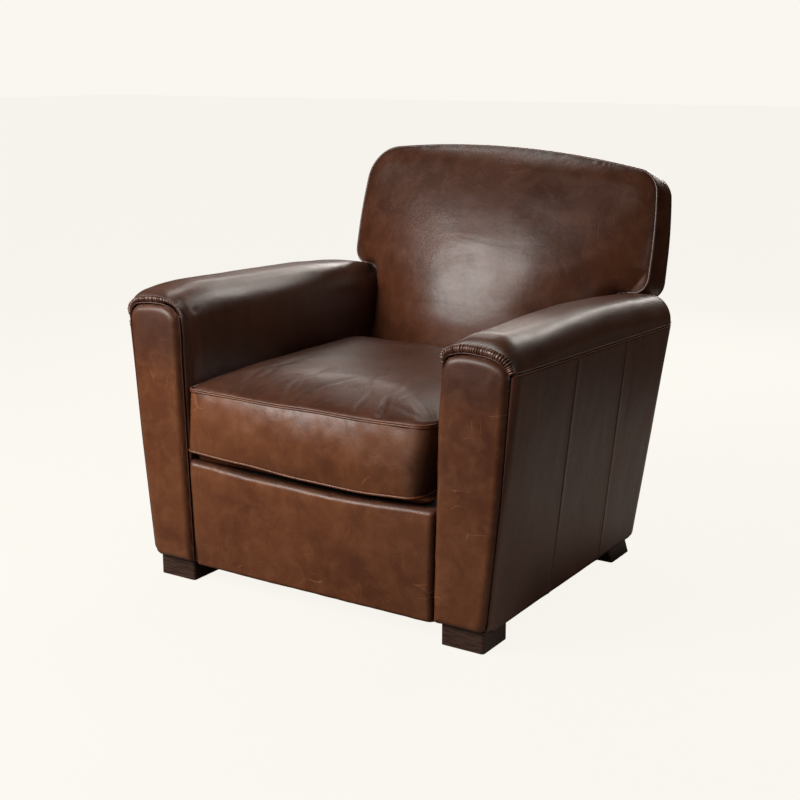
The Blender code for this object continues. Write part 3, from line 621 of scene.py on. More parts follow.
def gathers(side, name, seed):
    """The cover's edge rolled over and gathered tight above the facing, and the fine welt under it."""
    random = np.random.default_rng(seed + 100)
    flat = pad_outline(side, 0.0102, 0.0030 + 0.0032 * side, -0.0028 - 0.0053 * side)
    inward = ease(along(flat), 0.130 + 0.015 * side, 0.174 + 0.006 * side)
    hidden = (1 - ease(along(flat), 0.005, 0.035)) * (side < 0)
    path = np.column_stack([flat[:, 0], at(0.0118 + 0.0085 * inward + 0.006 * hidden), flat[:, 1]])
    path[:, 0] = np.minimum(path[:, 0], outer(path[:, 2]) - 0.0088 + 0.0036 * side)
    run = along(path)
    fine = np.concatenate([np.arange(0, 0.24, 0.00045), np.linspace(0.24, run[-1], 90)])
    path = sampled(fine, run, path)
    inward = np.interp(fine, run, inward)
    pleats = np.zeros(len(fine))
    place = 0.004
    while place < 0.215:
        strong = random.uniform(0.35, 0.85) + 0.95 * (random.random() < 0.30)
        pleats -= strong * dent(fine, place, random.uniform(0.0006, 0.0011))
        pleats += 0.35 * strong * (dent(fine, place - 0.0022, 0.0013) + dent(fine, place + 0.0022, 0.0013))
        place += random.uniform(0.0026, 0.0066)
    pleats *= 1 - ease(fine, 0.165, 0.200)
    size = 0.0063 + 0.0006 * side + 0.0004 * np.sin(fine * 90 + seed)
    size -= (size - 0.0018 + 0.0006 * side) * inward
    size *= 1 - 0.5 * np.interp(fine, run, hidden)
    sides = 22
    grid = ringed(path, size, sides)
    path = np.concatenate([path[:1], path, path[-1:]])
    fine = np.concatenate([fine[:1], fine, fine[-1:]])
    pleats, inward = np.interp(fine, fine[1:-1], pleats), np.interp(fine, fine[1:-1], inward)
    middle = path[:, None, :]
    turn = np.arange(sides) / sides
    slant = 1 + 0.25 * np.sin(2 * math.pi * turn[None, :] + 3 * np.sin(fine * 60)[:, None])
    grid = middle + (grid - middle) * (1 + (0.22 - 0.03 * side) * pleats[:, None] * slant)[..., None]
    grid[..., 0] *= side
    # Painted shade darkens the pleats' creases and a painted highlight lightens the ridges between them
    dark = np.clip(-pleats, 0, 1)[:, None] * 0.95
    rub_and_highlight = (np.clip(0.45 + pleats, 0, 1) * (1 - 0.5 * inward))[:, None]
    made = surface(name + "_arm_gathers", grid, handled, wrap=True, flip=side > 0, seam=dark, wear_and_highlight=rub_and_highlight)
    flat = pad_outline(side, 0.0032, 0.0005 + 0.0015 * side, -0.0010 * side)
    inward = ease(along(flat), 0.120, 0.170)
    path = spaced(np.column_stack([side * flat[:, 0], at(0.0085 + 0.0055 * inward), flat[:, 1]]), 300)
    tube(name + "_facing_welt", path, 0.0013, umber, sides=8)


for side, name, seed in ((-1, "left", 11), (1, "right", 23)):
    arm_cover(side, name, seed)
    gathers(side, name, seed)

# ---------------------------------------------------------------- arm facings
# A padded panel stands on the front of each arm, nearly as wide as the arm itself. Its edges
# are softly rounded and sink into a dark gap beside the arm's own rolled front.


def arm_panel(side, name, seed):
    """A crowned pad with the facing's outline, and the shallow wall behind its edge."""
    outline = pad_outline(side)
    low, bend = 0.0425, 0.016
    foot_out, foot_in = outer(low) - pad_edge(low), outline[-1][0]
    hem = np.array([(foot_in + 0.002, low), (foot_out - bend, low)])
    angles = np.linspace(-math.pi / 2, 0, 14)
    corner_arc = (foot_out - bend, low + bend) + bend * np.column_stack([np.cos(angles), np.sin(angles)])
    levels = np.linspace(low + bend, outline[0][1], 60)[1:-1]
    rise = np.column_stack([[outer(z) - pad_edge(z) for z in levels], levels])
    loop = np.concatenate([hem, corner_arc[1:], rise, outline])
    top = int(np.argmax(loop[:, 1]))
    right = spaced(loop[: top + 1], 110)
    left = spaced(np.concatenate([loop[top:], loop[:1]])[::-1], 110)
    spread = 0.5 - 0.5 * np.cos(np.linspace(0, math.pi, 54))
    flat = np.array([a + (b - a) * spread[:, None] for a, b in zip(right, left)])
    close = edge_distance(flat, spaced(np.concatenate([loop, loop[:1]]), 500))
    roll = np.clip(close / 0.014, 0, 1)
    back = 0.014 * (1 - np.sqrt(roll * (2 - roll)))
    crown = 0.0030 * (1 - np.clip(close / 0.050, 0, 1)) ** 1.5
    grid = np.dstack([flat[..., 0], at(0.0004 + back + crown), flat[..., 1]])
    swell = 0.0010 * wander(grid, (13, 13, 7), seed) + 0.0004 * wander(grid, (45, 45, 25), seed)
    grid[..., 1] -= swell * ease(close, 0.0, 0.02)
    rings = np.concatenate([grid[0], grid[1:, -1], grid[-1, ::-1][1:], grid[::-1, 0][1:-1]])
    wall = np.array([rings + [0, deep, 0] for deep in (0, 0.005, 0.011, 0.021)])
    grid[..., 0] *= side
    wall[..., 0] *= side
    # Painted shade darkens the edge where it sinks into the gap, and the right pad all over a little, as the
    # light falls off to the right. The pad is also darker towards its top, and a rubbed band lies just
    # inside the edge
    edge = 1 - ease(close, 0.0, 0.010)
    darkened = 0.60 * ease(grid[..., 2], 0.40, 0.50)
    dark = np.maximum(0.55 * edge, np.maximum(darkened, 0.09 + 0.09 * side))
    rub_and_highlight = 0.30 * dent(close, 0.012, 0.006) * (1 - darkened)
    made = surface(name + "_facing_pad", grid, chestnut, flip=side > 0, seam=dark, wear_and_highlight=rub_and_highlight)
    # Painted shade darkens the wall behind the edge, most at its deepest
    recess_shade = np.linspace(0.5, 1.0, 4)[:, None]
    shell = surface(name + "_facing_edge", wall, chestnut, wrap=True, flip=side < 0, seam=recess_shade)
    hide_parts(name + "_arm_facing")


arm_panel(-1, "left", 3)
arm_panel(1, "right", 8)

# ---------------------------------------------------------------- outside panels
# The flared side is one dark panel in three widths, joined by two upright seams. It turns in
# beside the facing at the front, wraps the rear corner and is topstitched to the arm's top.

SIDE_SEAMS = (0.245, 0.460)
ROLL_START, ROLL_DEPTH, FRONT_LAP = 0.0125, 0.0200, 0.0022


def closer(low, high, step, places, reach, fine):
    """Steps from low to high that crowd together round some places."""
    found = [np.arange(low, high, step)]
    found += [np.arange(place - reach, place + reach, fine) for place in places]
    found = np.unique(np.round(np.concatenate(found + [[high]]), 5))
    found = found[(found >= low) & (found <= high)]
    return found[np.concatenate([[True], np.diff(found) > 0.6 * fine])]


def side_path(level):
    """One level of a side panel from its front tuck to the back seam, as (x, distance)."""
    half, rolled_in = outer(level), pad_edge(level) - FRONT_LAP
    angles = np.radians(np.linspace(0, 90, 24))
    tucked = np.column_stack([np.full(4, half - rolled_in), (0.034, 0.026, 0.020, 0.0155)])
    turning = 1 - np.column_stack([np.sin(angles), np.cos(angles)])
    rolled = (half, ROLL_START) + (-rolled_in, ROLL_DEPTH) * turning
    steps = closer(0.036, 0.60, 0.0055, SIDE_SEAMS, 0.012, 0.0007)
    end = rear(level) - corner(level)
    stretch = np.linspace(0, 1, 8)[1:-1]
    straight = np.concatenate([steps, 0.60 + (end - 0.60) * stretch])
    straight = np.column_stack([np.full(len(straight), half), straight])
    angles = np.radians(np.linspace(2, 86, 26))
    turning = 1 - np.column_stack([np.cos(angles), np.sin(angles)])
    bend = (half, rear(level)) - corner(level) * turning
    tuck = bend[-1] + [(-0.002, 0.0), (-0.004, -0.004), (-0.004, -0.012)]
    return np.concatenate([tucked, rolled, straight, bend, tuck])


def side_panel(side, name, seed):
    """The hide of a flared side, level by level, with its two lapped seams."""
    near_foot, near_top = np.linspace(0, 0.03, 6)[:-1], np.linspace(0.975, 1, 9)[1:]
    shares = np.concatenate([near_foot, np.linspace(0.03, 0.975, 88), near_top])
    low, high = 0.040, SEAM_FRONT - 0.0008
    path = np.array([side_path(low + (high - low) * s) for s in shares])
    distance = path[..., 1]
    top = SEAM_FRONT - SEAM_FALL * distance - 0.0008
    z = low + (top - low) * shares[:, None]
    level = (low + (high - low) * shares)[:, None]
    turned = ease(np.arange(path.shape[1]), path.shape[1] - 20, path.shape[1] - 8)
    grid = np.dstack([path[..., 0] + 0.099 * (z - level), at(distance) + 0.200 * (z - level) * turned, z])
    out = -facing(grid)
    amount = 0.0012 * wander(grid, (6, 6, 4), seed) + 0.0003 * wander(grid, (60, 40, 12), seed)
    joint = np.zeros(distance.shape)
    for seam in SIDE_SEAMS:
        line = seam + 0.0012 * wander(grid, (0, 0, 6), seed + seam)
        joint = np.maximum(joint, dent(distance, line, 0.0009))
        lap = ease(distance, line - 0.0004, line + 0.0006)
        lap = lap * (1 - ease(distance, line + 0.005, line + 0.012))
        amount += 0.0007 * lap * (1 + 0.5 * wander(grid, (10, 10, 90), seed))
        amount += 0.0005 * dent(distance, line, 0.010)
        amount -= 0.0014 * dent(distance, line, 0.0009)
    folds = np.abs(wander(grid, (26, 12, 4), seed + 9))
    amount += 0.0006 * folds * ease(-z, -0.50, -0.30) * ease(z, 0.05, 0.2)
    edge = ease(z - top, -0.0060, 0.0)
    foot = ease(-z, -0.050, -0.040)
    amount -= 0.0024 * edge**2 + 0.004 * foot**2
    keep = ease(distance, 0.010, 0.040) * (1 - ease(distance, 0.74, 0.77))
    rounded = ((1 - ease(z, 0.040, 0.062)) * (1 - ease(distance, 0.012, 0.050))) ** 2
    grid -= np.array((0.012, -0.010, 0.0)) * rounded[..., None]
    grid = grid + out * (amount * np.maximum(keep, 0.15))[..., None]
    grid[..., 0] *= side
    # The lapped seams and the top edge under the stitching are darker. Painted shade darkens the foot where
    # the panel turns under and the tuck beside the facing, and a painted highlight, with some rubbed wear,
    # lightens the rolled front edge
    dark = np.maximum(0.8 * joint, np.maximum(0.8 * ease(edge, 0.5, 1.0), 0.7 * foot))
    dark[:, :5] = 1.0
    rub_and_highlight = dent(np.arange(grid.shape[1]), 17, 7)
    made = surface(name + "_side_hide", grid, umber, flip=side < 0, seam=dark, wear_and_highlight=rub_and_highlight)
    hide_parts(name + "_outside_arm")


side_panel(-1, "left", 31)
side_panel(1, "right", 37)

# ---------------------------------------------------------------- arm seam stitching
# Two rows of tan thread run along the seam between each arm's top and its side, and a short
# bar of stitches ends them beside the facing.

thread, thread_shader, here = new_material("tan_thread", 0.6)
twist = here.noise(260.0, 2.0).blend((0.30, 0.170, 0.095, 1), (0.46, 0.300, 0.190, 1))
plug(twist, thread_shader, "Base Color")


def stitches(name, lines, length, gap, radius):
    """Short threads laid along lines, each sunk a little at both of its ends."""
    corners, quads = [], []
    for line, outs in lines:
        run = along(line)
        start = 0.0
        while start + length < run[-1]:
            stops = start + length * np.array((0.0, 0.12, 0.5, 0.88, 1.0))
            spine, outward = sampled(stops, run, line), sampled(stops, run, outs)
            heading = spine[-1] - spine[0]
            heading /= np.linalg.norm(heading)
            sizes, sinks = (0.35, 0.85, 1, 0.85, 0.35), (-1.1, -0.2, 0.1, -0.2, -1.1)
            for here_at, up, size, sink in zip(spine, outward, sizes, sinks):
                sideways = np.cross(heading, up)
                for turn_by in np.arange(6) * math.pi / 3:
                    offset = math.cos(turn_by) * up + math.sin(turn_by) * sideways
                    corners.append(here_at + up * sink * radius + offset * radius * size)
            base = len(corners) - 30
            for ring in range(4):
                for k in range(6):
                    a, b = base + ring * 6 + k, base + ring * 6 + (k + 1) % 6
                    quads.append((a, b, b + 6, a + 6))
            start += length + gap
    made = placed(name, [tuple(p) for p in corners], quads, thread)


def rolled_inset(distance, z):
    """How far the side panel's rounded front edge is drawn in at this distance."""
    slope = math.acos(1 - (distance - ROLL_START) / ROLL_DEPTH)
    return (pad_edge(z) - FRONT_LAP) * (1 - math.sin(slope))


for side, name in ((-1, "left"), (1, "right")):
    lines = []
    for offset in (-0.0026, 0.0024):
        line, outs = [], []
        for d in np.concatenate([np.linspace(0.0145, 0.034, 12), np.linspace(0.040, 0.745, 240)]):
            z = seam_height(d) + offset
            inset = corner_inset(d, z)
            if d < ROLL_START + ROLL_DEPTH:
                inset = rolled_inset(d, z)
            bend = math.asin(min(1.0, max(0.0, d - (rear(z) - corner(z))) / corner(z)))
            line.append((side * (outer(z) - inset + 0.0002), at(d), z))
            outs.append((side * math.cos(bend), math.sin(bend), -0.1))
        lines.append((np.array(line), np.array(outs)))
    for offset in (0.0, 0.0016, 0.0032):
        inset = rolled_inset(0.0140 + offset, 0.51)
        levels = (0.5075, 0.5135, 0.5195)
        bar = [(side * (outer(z) - inset + 0.0004), at(0.0140 + offset), z) for z in levels]
        lines.append((np.array(bar), np.tile((side * 0.5, -0.85, 0.0), (3, 1))))
    stitches(name + "_seam_stitches", lines, 0.0046, 0.0012, 0.00075)

# ---------------------------------------------------------------- front border
# A padded border under the cushion, with a full rounded top edge and a folded hem below.

BORDER_TOP, BORDER_LOW = 0.2560, 0.0365
profile = filleted(
    [(0.030, BORDER_LOW + 0.004), (0.010, BORDER_LOW), (0.0065, BORDER_TOP), (0.040, BORDER_TOP - 0.004)],
    (0.008, 0.010), (5, 70, 10), 16,
)
columns = np.sin(np.linspace(-math.pi / 2, math.pi / 2, 160))
grid = np.zeros((len(profile), len(columns), 3))
for i, (distance, z) in enumerate(profile):
    grid[i, :, 0] = columns * (inner(z) - 0.0040) - 0.0034
    grid[i, :, 1] = at(distance)
    grid[i, :, 2] = z
side_gap = (1 - np.abs(columns)) * 0.285
tuck_in = 1 - np.clip(side_gap / 0.012, 0, 1)
grid[..., 1] += 0.012 * (1 - np.sqrt(1 - tuck_in**2 * 0.999))[None, :]
sag = 0.0118 * dent(columns, 0.20, 0.60) + 0.0050 * dent(columns, -0.50, 0.30)
sag = sag + 0.002 * ease(columns, 0.0, 0.9)
sag = sag * ease(grid[:, :1, 2], 0.19, 0.25)
grid[..., 2] -= sag
face = ease(grid[..., 2], 0.05, 0.10) * (1 - ease(grid[..., 2], 0.22, 0.25))
grid[..., 1] -= 0.0018 * face * np.sqrt(1 - tuck_in)[None, :]
out = facing(grid)
amount = 0.0011 * wander(grid, (8, 8, 10), 50) + 0.0005 * wander(grid, (40, 40, 26), 51)
amount -= 0.0018 * dent(grid[..., 0], 0.055, 0.0035) * dent(grid[..., 2], 0.247, 0.010)
amount += 0.0014 * wander(grid, (48, 20, 20), 52) * dent(grid[..., 2], 0.246, 0.016)
grid = grid - out * amount[..., None] * np.sign((out[..., 1:2] > 0) - 0.5)
# Painted shade darkens the ends tucked beside the arms, the hem below, the top edge beside the gap under the
# cushion, and the right end, as the light falls off to the right. A rubbed band lies below the top edge
dark = np.maximum(tuck_in[None, :] * 0.9, 0.75 * ease(-grid[..., 2], -0.046, -0.036))
dark = np.maximum(dark, 0.85 * ease(grid[..., 2] + sag, 0.247, 0.254))
dark = np.maximum(dark, 0.24 * ease(grid[..., 0], 0.02, 0.26))
rub_and_highlight = 0.25 * dent(grid[..., 2], 0.232, 0.014)
border = surface("front_border_hide", grid, chestnut, flip=True, seam=dark, wear_and_highlight=rub_and_highlight)
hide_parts("front_border")

# ---------------------------------------------------------------- seat cushion
# A loose boxed cushion, full in the middle, with a flat corded welt round the top of its
# boxing and one round the bottom. It has settled over the border at the front, and its top
# is creased and puckered towards the front welt and the right corner.

CUSHION_LEFT, CUSHION_RIGHT, CUSHION_FRONT, CUSHION_REAR = -0.2855, 0.2680, 0.0170, 0.5620
AROUND = 380


def cushion_ring(inset):
    """A rounded rectangle in plan, from the middle of the rear round by the left."""
    left, right = CUSHION_LEFT + inset, CUSHION_RIGHT - inset
    front, back = CUSHION_FRONT + inset, CUSHION_REAR - inset
    middle = (left + right) / 2
    corners = [(middle, back), (left, back), (left, front), (right, front), (right, back)]
    corners.append((middle + 0.0001, back))
    shrink = max(0.02, 1 - inset / 0.27)
    radii = [radius * shrink for radius in (0.035, 0.014, 0.032, 0.035)]
    return spaced(filleted(corners, radii, (30, 60, 60, 60, 30), 16), AROUND + 1)[:-1]


def cushion_seam(high):
    """A welt's path: the front lifts at its corners above and sags over the border below."""
    plan = cushion_ring(0.0)
    x, distance = plan[:, 0].copy(), plan[:, 1].copy()
    forward = 1 - ease(distance, 0.02, 0.16)
    narrow = (1 - ease(distance, 0.04, 0.32)) * ease(x, 0.0, 0.25)
    x -= 0.009 * narrow
    if high:
        z = 0.3955 + 0.006 * (1 - forward) - 0.003 * forward * (1 - (np.abs(x) / 0.28) ** 3)
        z += 0.0007 * np.sin(31 * x + 1.0) * forward
    else:
        x -= 0.014 * narrow
        distance -= 0.0095 * forward
        z = 0.2720 - forward * (0.0120 * dent(x, 0.08, 0.20) - 0.0030 * ease(-x, 0.15, 0.28))
        z += 0.0006 * np.sin(37 * x) * forward
    return np.column_stack([x, at(distance), z])


top_seam, low_seam = cushion_seam(True), cushion_seam(False)
rings = []
UNDERSIDE = (
    (0.24, 0), (0.16, 0), (0.10, 0), (0.06, 0), (0.042, 0.05), (0.030, 0.3),
    (0.022, 0.7), (0.016, 0.95), (0.011, 1.0), (0.007, 0.9), (0.003, 0.55),
)
for inset, sink in UNDERSIDE:
    plan = cushion_ring(inset)
    share = 1 - ease(np.array(inset), 0.0, 0.012)
    forward = 1 - ease(plan[:, 1], 0.03, 0.10)
    z = 0.2605 * (1 - share) + share * low_seam[:, 2] - 0.0085 * sink * forward * (1 - share * 0.4)
    rings.append(np.column_stack([plan[:, 0], at(plan[:, 1]), z]))
boxing = 25
outward = cushion_ring(0.0) - cushion_ring(0.01)
outward /= np.linalg.norm(outward, axis=1, keepdims=True)
front_face = 1 - ease(top_seam[:, 1] - at(0), 0.03, 0.20)
full = front_face * np.clip(-outward[:, 1], 0, 1) ** 2
full = full * ease(top_seam[:, 0], CUSHION_LEFT, CUSHION_LEFT + 0.05)
for share in np.linspace(0, 1, boxing):
    ring = low_seam + (top_seam - low_seam) * share
    swell = (1 - (2 * share - 1) ** 2) * (0.0010 + 0.0130 * full)
    ring[:, :2] += outward * swell[:, None]
    rings.append(ring)
for share in np.linspace(0, 1, 46)[1:]:
    inset = 0.268 * share
    plan = cushion_ring(inset)
    level = min(1.0, share * 2.0)
    rise = 0.038 * math.sin(level * math.pi / 2) ** 0.72
    level_off = float(ease(np.array(share), 0.0, 0.8))
    base = top_seam[:, 2] + (top_seam[:, 2].mean() - top_seam[:, 2]) * level_off
    rings.append(np.column_stack([plan[:, 0], at(plan[:, 1]), base + rise]))
final = rings[-1]
heart = final.mean(axis=0)
for share in (0.6, 0.25, 0.0):
    rings.append(heart + (final - heart) * share)
grid = np.array(rings)
x, distance, z = grid[..., 0], grid[..., 1] - at(0), grid[..., 2]
row = np.arange(len(grid))[:, None] * np.ones((1, AROUND))
first_box = len(UNDERSIDE)
first_top = first_box + boxing
over = np.clip((row - first_top) / 45, 0, 1)
# Creases fan back from the front welt and from the right front corner
random = np.random.default_rng(77)
crease = np.zeros_like(x)
for k in range(15):
    foot = random.uniform(-0.22, 0.24)
    lean = random.uniform(-0.5, 0.9)
    length = random.uniform(0.035, 0.10)
    deep = random.uniform(0.5, 1.2)
    away = distance - CUSHION_FRONT - 0.006
    line = foot + lean * away + 0.006 * np.sin(away * 60 + k)
    gone = np.clip(away, 0, 1)
    crease -= deep * dent(x, line, 0.0035 + 0.03 * gone) * ease(away, -0.004, 0.012) * np.exp(-gone / length)
for k in range(5):
    angle = math.radians(95 + 17 * k)
    dx, dy = math.cos(angle), math.sin(angle)
    px, py = x - 0.272, distance - 0.024
    away, off = px * dx + py * dy, px * dy - py * dx
    gone = np.clip(away, 0, 1)
    crease -= 0.8 * dent(off, 0.0, 0.0030 + 0.02 * gone) * ease(away, 0.0, 0.02) * np.exp(-gone / 0.055)
grid[..., 2] += 0.0033 * crease * (over > 0)
# Puckers hang below the top welt across the front of the boxing
band_share = np.clip((row - first_box) / (boxing - 1), 0, 1)
on_box = (row >= first_box) & (row < first_top)
hang = np.exp(-(1 - band_share) / 0.16) * ease(1 - band_share, 0.0, 0.03) * on_box * front_face[None, :]
pucker = np.zeros_like(x)
for k in range(26):
    foot = random.uniform(-0.05, 0.25) if k > 4 else random.uniform(-0.22, 0.0)
    pucker -= random.uniform(0.3, 1.0) * dent(x, foot, random.uniform(0.0008, 0.0020))
grid[..., 1] -= 0.0017 * pucker * hang
lumps = 0.0019 * wander(grid, (30, 8, 24), 61) + 0.0006 * wander(grid, (75, 8, 45), 63)
grid[..., 1] -= lumps * on_box * front_face[None, :]
grid[..., 2] += 0.0016 * wander(grid, (9, 9, 3), 62) * ease(over, 0.0, 0.25)
# The rows at the welts are darker, and the whole top a shade deeper in tone. Painted shade darkens the
# puckers, the right end of the boxing, the underside, the top's creases and its left side under the left
# arm. The boxing is lightened across its front: a little rubbed wear, and under the top welt partly wear and
# partly a painted highlight
dark = np.maximum(dent(row, first_box, 0.8), dent(row, first_top - 1, 0.8)) * 0.6
dark = np.maximum(dark, np.clip(-pucker * hang * 0.5, 0, 0.5))
dark = np.maximum(dark, (0.22 * ease(x, 0.06, 0.20) + 0.60 * ease(x, 0.190, 0.245)) * on_box)
dark = np.maximum(dark, 0.85 * (row < 6))
left_shade = 0.20 * (1 - ease(x, -0.22, -0.02))
dark = np.maximum(dark, (0.20 + left_shade + np.clip(-crease, 0, 1) * 0.30) * (over > 0))
rub_and_highlight = (0.2 + 0.45 * dent(band_share, 0.80, 0.16)) * on_box * front_face[None, :]
cushion = surface("seat_cushion", grid, chestnut, wrap=True, flip=True, seam=dark, wear_and_highlight=rub_and_highlight)
cushion.data.materials.append(russet)
for index, patch in enumerate(cushion.data.polygons):
    patch.material_index = int(index >= (first_top - 1) * AROUND)
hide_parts("seat_cushion_cover", "seat_cushion_core")
lift = np.column_stack([outward * 0.0012, np.full(AROUND, 0.0010)])
welts = (
    ("top", top_seam, 0.0016, 0.0021),
    ("top_under", top_seam, -0.0022, 0.0021),
    ("low", low_seam, -0.0006, 0.0025),
)
for name, path, raise_by, radius in welts:
    line = path + lift + [0, 0, raise_by]
    line = spaced(np.concatenate([line, line[:1]]), 620)[:-1]
    tube("cushion_welt_" + name, line, radius, chestnut, closed=True)

# ---------------------------------------------------------------- back
# The back is upholstered tight over its springs: a full crowned front between the arms, two
# ears over them, a corded edge and a band that runs back to the rear panel. The crown has
# slumped to one side with wear.

BACK_HALF, BACK_WIDEST, BACK_LEAN = 0.3665, 0.620, 0.45
EARS = {-1: 0.5570, 1: 0.5440}
BACK_LOW, PANEL_LOW = 0.262, 0.0405
BAND_FLARE, BAND_FALL = 0.030, 0.017


def back_top(x):
    """Height of the piped edge over x."""
    peak = 0.830 - 0.233 * (x + 0.080) ** 2
    radius = 0.072 if x < 0 else 0.042
    past = abs(x) - 0.360 + radius
    if past <= 0:
        return peak
    side = BACK_WIDEST + math.sqrt(max(0.0, BACK_HALF - abs(x)) / BACK_LEAN)
    if past >= radius:
        return side
    return min(side, peak - radius + math.sqrt(radius**2 - past**2))


def back_edge(side):
    """One side of the back's outline, from the seat up its neck, round the ear to the crown."""
    ear = EARS[side]
    neck = inner(ear) + 0.004
    path = [(side * (inner(z) + 0.004), z) for z in np.linspace(BACK_LOW, ear - 0.012, 30)]
    for t in np.linspace(0, math.pi / 2, 8):
        path.append((side * (neck + 0.010 * (1 - math.cos(t))), ear - 0.010 + 0.010 * math.sin(t)))
    for t in np.linspace(0, math.pi / 2, 12):
        path.append((side * (BACK_HALF - 0.030 + 0.030 * math.sin(t)), ear + 0.034 - 0.034 * math.cos(t)))
    for x in BACK_HALF - 0.0085 * np.linspace(0, 1, 20)[1:] ** 2:
        path.append((side * x, back_top(side * x)))
    for x in np.linspace(0.356, 0.29, 30):
        path.append((side * x, back_top(side * x)))
    return spaced(path, 150)


def fullness(z):
    """How far the middle of the back's front swells forward of its piped edge."""
    levels = (0.25, 0.36, 0.43, 0.50, 0.55, 0.60, 0.65, 0.70, 0.75, 0.79, 0.84)
    amounts = (0.058, 0.100, 0.120, 0.123, 0.119, 0.111, 0.101, 0.088, 0.068, 0.045, 0.010)
    fine = np.linspace(0.25, 0.84, 120)
    smooth = np.convolve(np.interp(np.linspace(0.20, 0.89, 140), levels, amounts), np.ones(21) / 21, "same")
    return np.interp(z, fine, smooth[10:130])


def stretched(left, right, steps, low, flare=1.0, fall=0.0):
    """A flat sheet between two edges, from a level line below to the crown above."""
    grid = np.zeros((len(left), len(steps), 3))
    hold = np.abs(steps) ** 4
    for i, rise in enumerate(np.linspace(0, 1, len(left))):
        edge_at = left[i] + (right[i] - left[i]) * ((steps + 1) / 2)[:, None]
        peak = np.array([back_top(min(max(a / flare, -0.29), 0.29)) for a in edge_at[:, 0]]) - fall
        grid[i, :, 0] = edge_at[:, 0]
        grid[i, :, 2] = (low + (peak - low) * rise) * (1 - hold) + edge_at[:, 1] * hold
    return grid


left_edge, right_edge = back_edge(-1), back_edge(1)
grid = stretched(left_edge, right_edge, np.sin(np.linspace(-math.pi / 2, math.pi / 2, 150)), BACK_LOW)
grid[-1, :, 2] = [back_top(a) for a in grid[-1, :, 0]]
crown_edge = [(x, back_top(x)) for x in np.linspace(-0.288, 0.288, 120)]
rim = np.concatenate([left_edge[38:], crown_edge, right_edge[38:][::-1]])
close = edge_distance(grid[..., (0, 2)], rim)
x, z = grid[..., 0], grid[..., 2]
width = BACK_HALF - 0.066 * np.clip((0.60 - z) / 0.10, 0, 1)
full = fullness(z) * np.clip(1 - (np.abs(x) / width) ** 2.2, 0, 1)
roll = np.clip(close / 0.036, 0, 1)
bulge = np.sqrt(roll * (2 - roll))
depth = piping(z) - full * bulge - 0.006 * bulge
grid[..., 1] = at(depth)
out = facing(grid)
out *= np.sign(-out[..., 1:2])
amount = 0.0022 * wander(grid, (5, 5, 6), 70) + 0.0009 * wander(grid, (16, 16, 22), 71)
pucker = np.abs(wander(grid, (70, 30, 70), 72))
amount += 0.0016 * (pucker - 0.3) * np.exp(-close / 0.016) * ease(close, 0.0, 0.006)
crease = dent(wander(grid, (5, 5, 42), 73), 0.0, 0.05) * dent(x, -0.03, 0.16) * dent(z, 0.60, 0.10)
amount -= 0.0003 * crease
ridge = dent(wander(grid, (26, 10, 4), 74), 0.0, 0.08) * dent(x, 0.06, 0.07) * dent(z, 0.62, 0.09)
amount -= 0.0003 * ridge
amount *= ease(close, 0.0, 0.012)
grid = grid + out * amount[..., None]
# The hide is darker along its piped edge, and painted shade darkens the front towards its top. A rubbed band
# runs just inside the edge
dark = np.maximum(0.8 * (1 - ease(close, 0.0, 0.012)), 0.36 * ease(z, 0.60, 0.76))
back = surface("back_hide", grid, russet, seam=dark, wear_and_highlight=0.35 * dent(close, 0.020, 0.012))
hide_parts("inside_back")

outline = spaced(np.concatenate([left_edge[34:], crown_edge, right_edge[34:][::-1]]), 420)
depth = piping(outline[:, 1])
cord_path = np.column_stack([outline[:, 0], at(depth), outline[:, 1]])
tube("back_welt", cord_path, 0.0028, russet)
band = []
for share in np.linspace(0, 1, 26):
    wide = 1 + BAND_FLARE * share
    lower = np.where(outline[:, 1] > 0.60, 0.016 * share, 0.018 * share)
    z = outline[:, 1] - lower
    d = depth + (rear(z) - 0.004 - depth) * share
    band.append(np.column_stack([outline[:, 0] * wide, at(d), z]))
band = np.array(band)
out = facing(band)
middle = band.mean(axis=(0, 1))
out *= np.sign(np.sum(out * (band - middle), axis=2, keepdims=True))
swell = np.sin(np.linspace(0, math.pi, 26)) ** 0.6
amount = (0.0045 + 0.0010 * wander(band, (22, 8, 22), 80)) * swell[:, None]
band = band + out * amount[..., None]
# Painted shade darkens the band where it sinks into its two welts, and a painted highlight lightens its
# swell
dark = np.maximum(1 - swell, 0)[:, None]
band_piece = surface("back_band", band, russet, seam=dark, wear_and_highlight=1.0 - dark)
tube("back_welt_rear", band[-1], 0.0026, umber)

# ---------------------------------------------------------------- rear panel
# A plain dark panel closes the back, drawn tight, with a little slack showing low down.

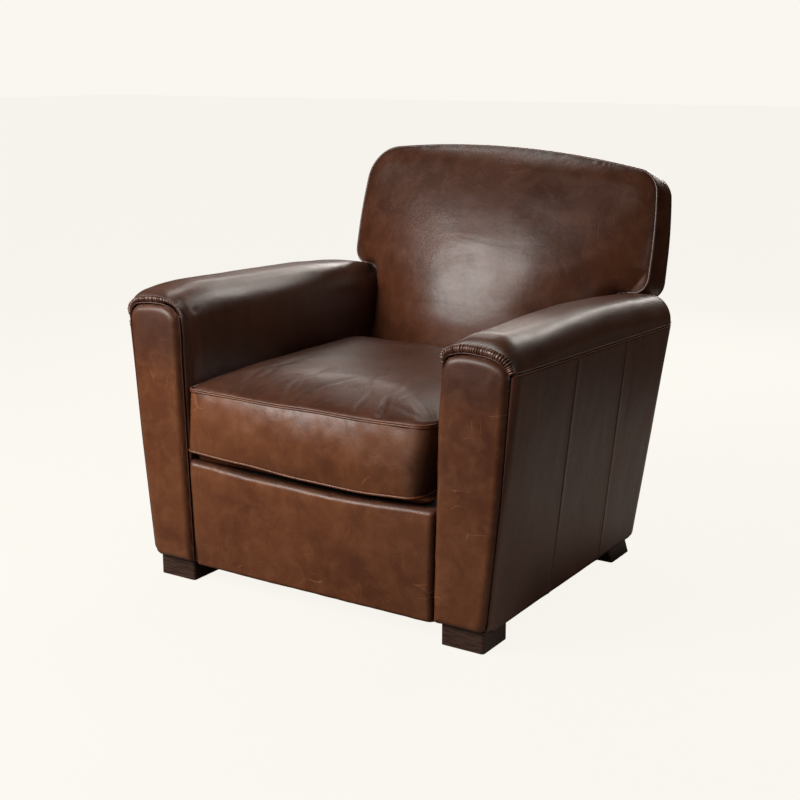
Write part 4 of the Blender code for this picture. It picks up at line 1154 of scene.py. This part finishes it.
edge_points = []
for z in np.linspace(PANEL_LOW, 0.505, 60):
    edge_points.append((outer(z) - corner(z) + corner(z) * math.cos(math.radians(86)) - 0.002, z))
shoulder = [(0.352, 0.516), (0.366, 0.530)]
edges = []
for side, edge in ((-1, left_edge), (1, right_edge)):
    upper = [(p[0] * (1 + BAND_FLARE) - side * 0.0012, p[1] - BAND_FALL) for p in edge[46:]]
    edges.append(spaced([(side * x, z) for x, z in edge_points + shoulder] + upper, 140))
edge_left, edge_right = edges
grid = stretched(edge_left, edge_right, np.linspace(-1, 1, 90), PANEL_LOW, 1 + BAND_FLARE, BAND_FALL)
rim = np.concatenate([edge_left, grid[-1][:, (0, 2)], edge_right[::-1]])
close = edge_distance(grid[..., (0, 2)], rim)
drawn = 0.004 * (1 - np.sqrt(1 - (1 - np.clip(close / 0.008, 0, 1)) ** 2))
z = grid[..., 2]
swell = 0.0010 * wander(np.dstack([grid[..., 0], z, z]), (5, 4, 1), 90) * ease(close, 0, 0.03)
grid[..., 1] = at(rear(z) - 0.0015 - drawn + swell)
panel = surface("rear_hide", grid, umber, flip=True, seam=0.8 * (1 - ease(close, 0, 0.012)))
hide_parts("outside_back")

# ---------------------------------------------------------------- feet and underside
# Square blocks of stained wood on nylon glides, under a black cloth. The openings under the
# ears look in on the frame, so its timber takes the feet's dark wood. The springs, webbing,
# bolts and other inner parts take the cloth's black, which stands as painted shade where
# gaps look in on them.

wood, wood_shader, here = new_material("stained_wood", 0.42)
fibre = here.scaled((1.0, 1.0, 14.0)).noise(34.0, 5.0, 0.6, 0.3).ramp(0.3, 0.7)
plug(fibre.blend((0.026, 0.012, 0.008, 1), (0.080, 0.036, 0.022, 1)), wood_shader, "Base Color")
plug(fibre.ramp(0.0, 1.0, 0.36, 0.52), wood_shader, "Roughness")
plug(bump(fibre, 0.0004, 0.5), wood_shader, "Normal")
black_cloth_and_shade, cloth_shader, here = new_material("black_cloth_and_shade", 0.95)
fuzz = here.noise(700.0, 2.0, 0.6)
plug(fuzz.blend((0.004, 0.004, 0.004, 1), (0.014, 0.013, 0.012, 1)), cloth_shader, "Base Color")
cloth_shader.inputs["Specular IOR Level"].default_value = 0.1
nylon, nylon_shader, here = new_material("nylon", 0.55)
plug(here.noise(300.0).blend((0.03, 0.03, 0.03, 1), (0.06, 0.06, 0.06, 1)), nylon_shader, "Base Color")
for node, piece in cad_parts.items():
    if node.endswith(("_foot", "_rail", "_board", "_post", "_block")):
        piece.data.materials[0] = wood
    elif node.endswith("_glide"):
        piece.data.materials[0] = nylon
    elif len(piece.data.materials):
        piece.data.materials[0] = black_cloth_and_shade
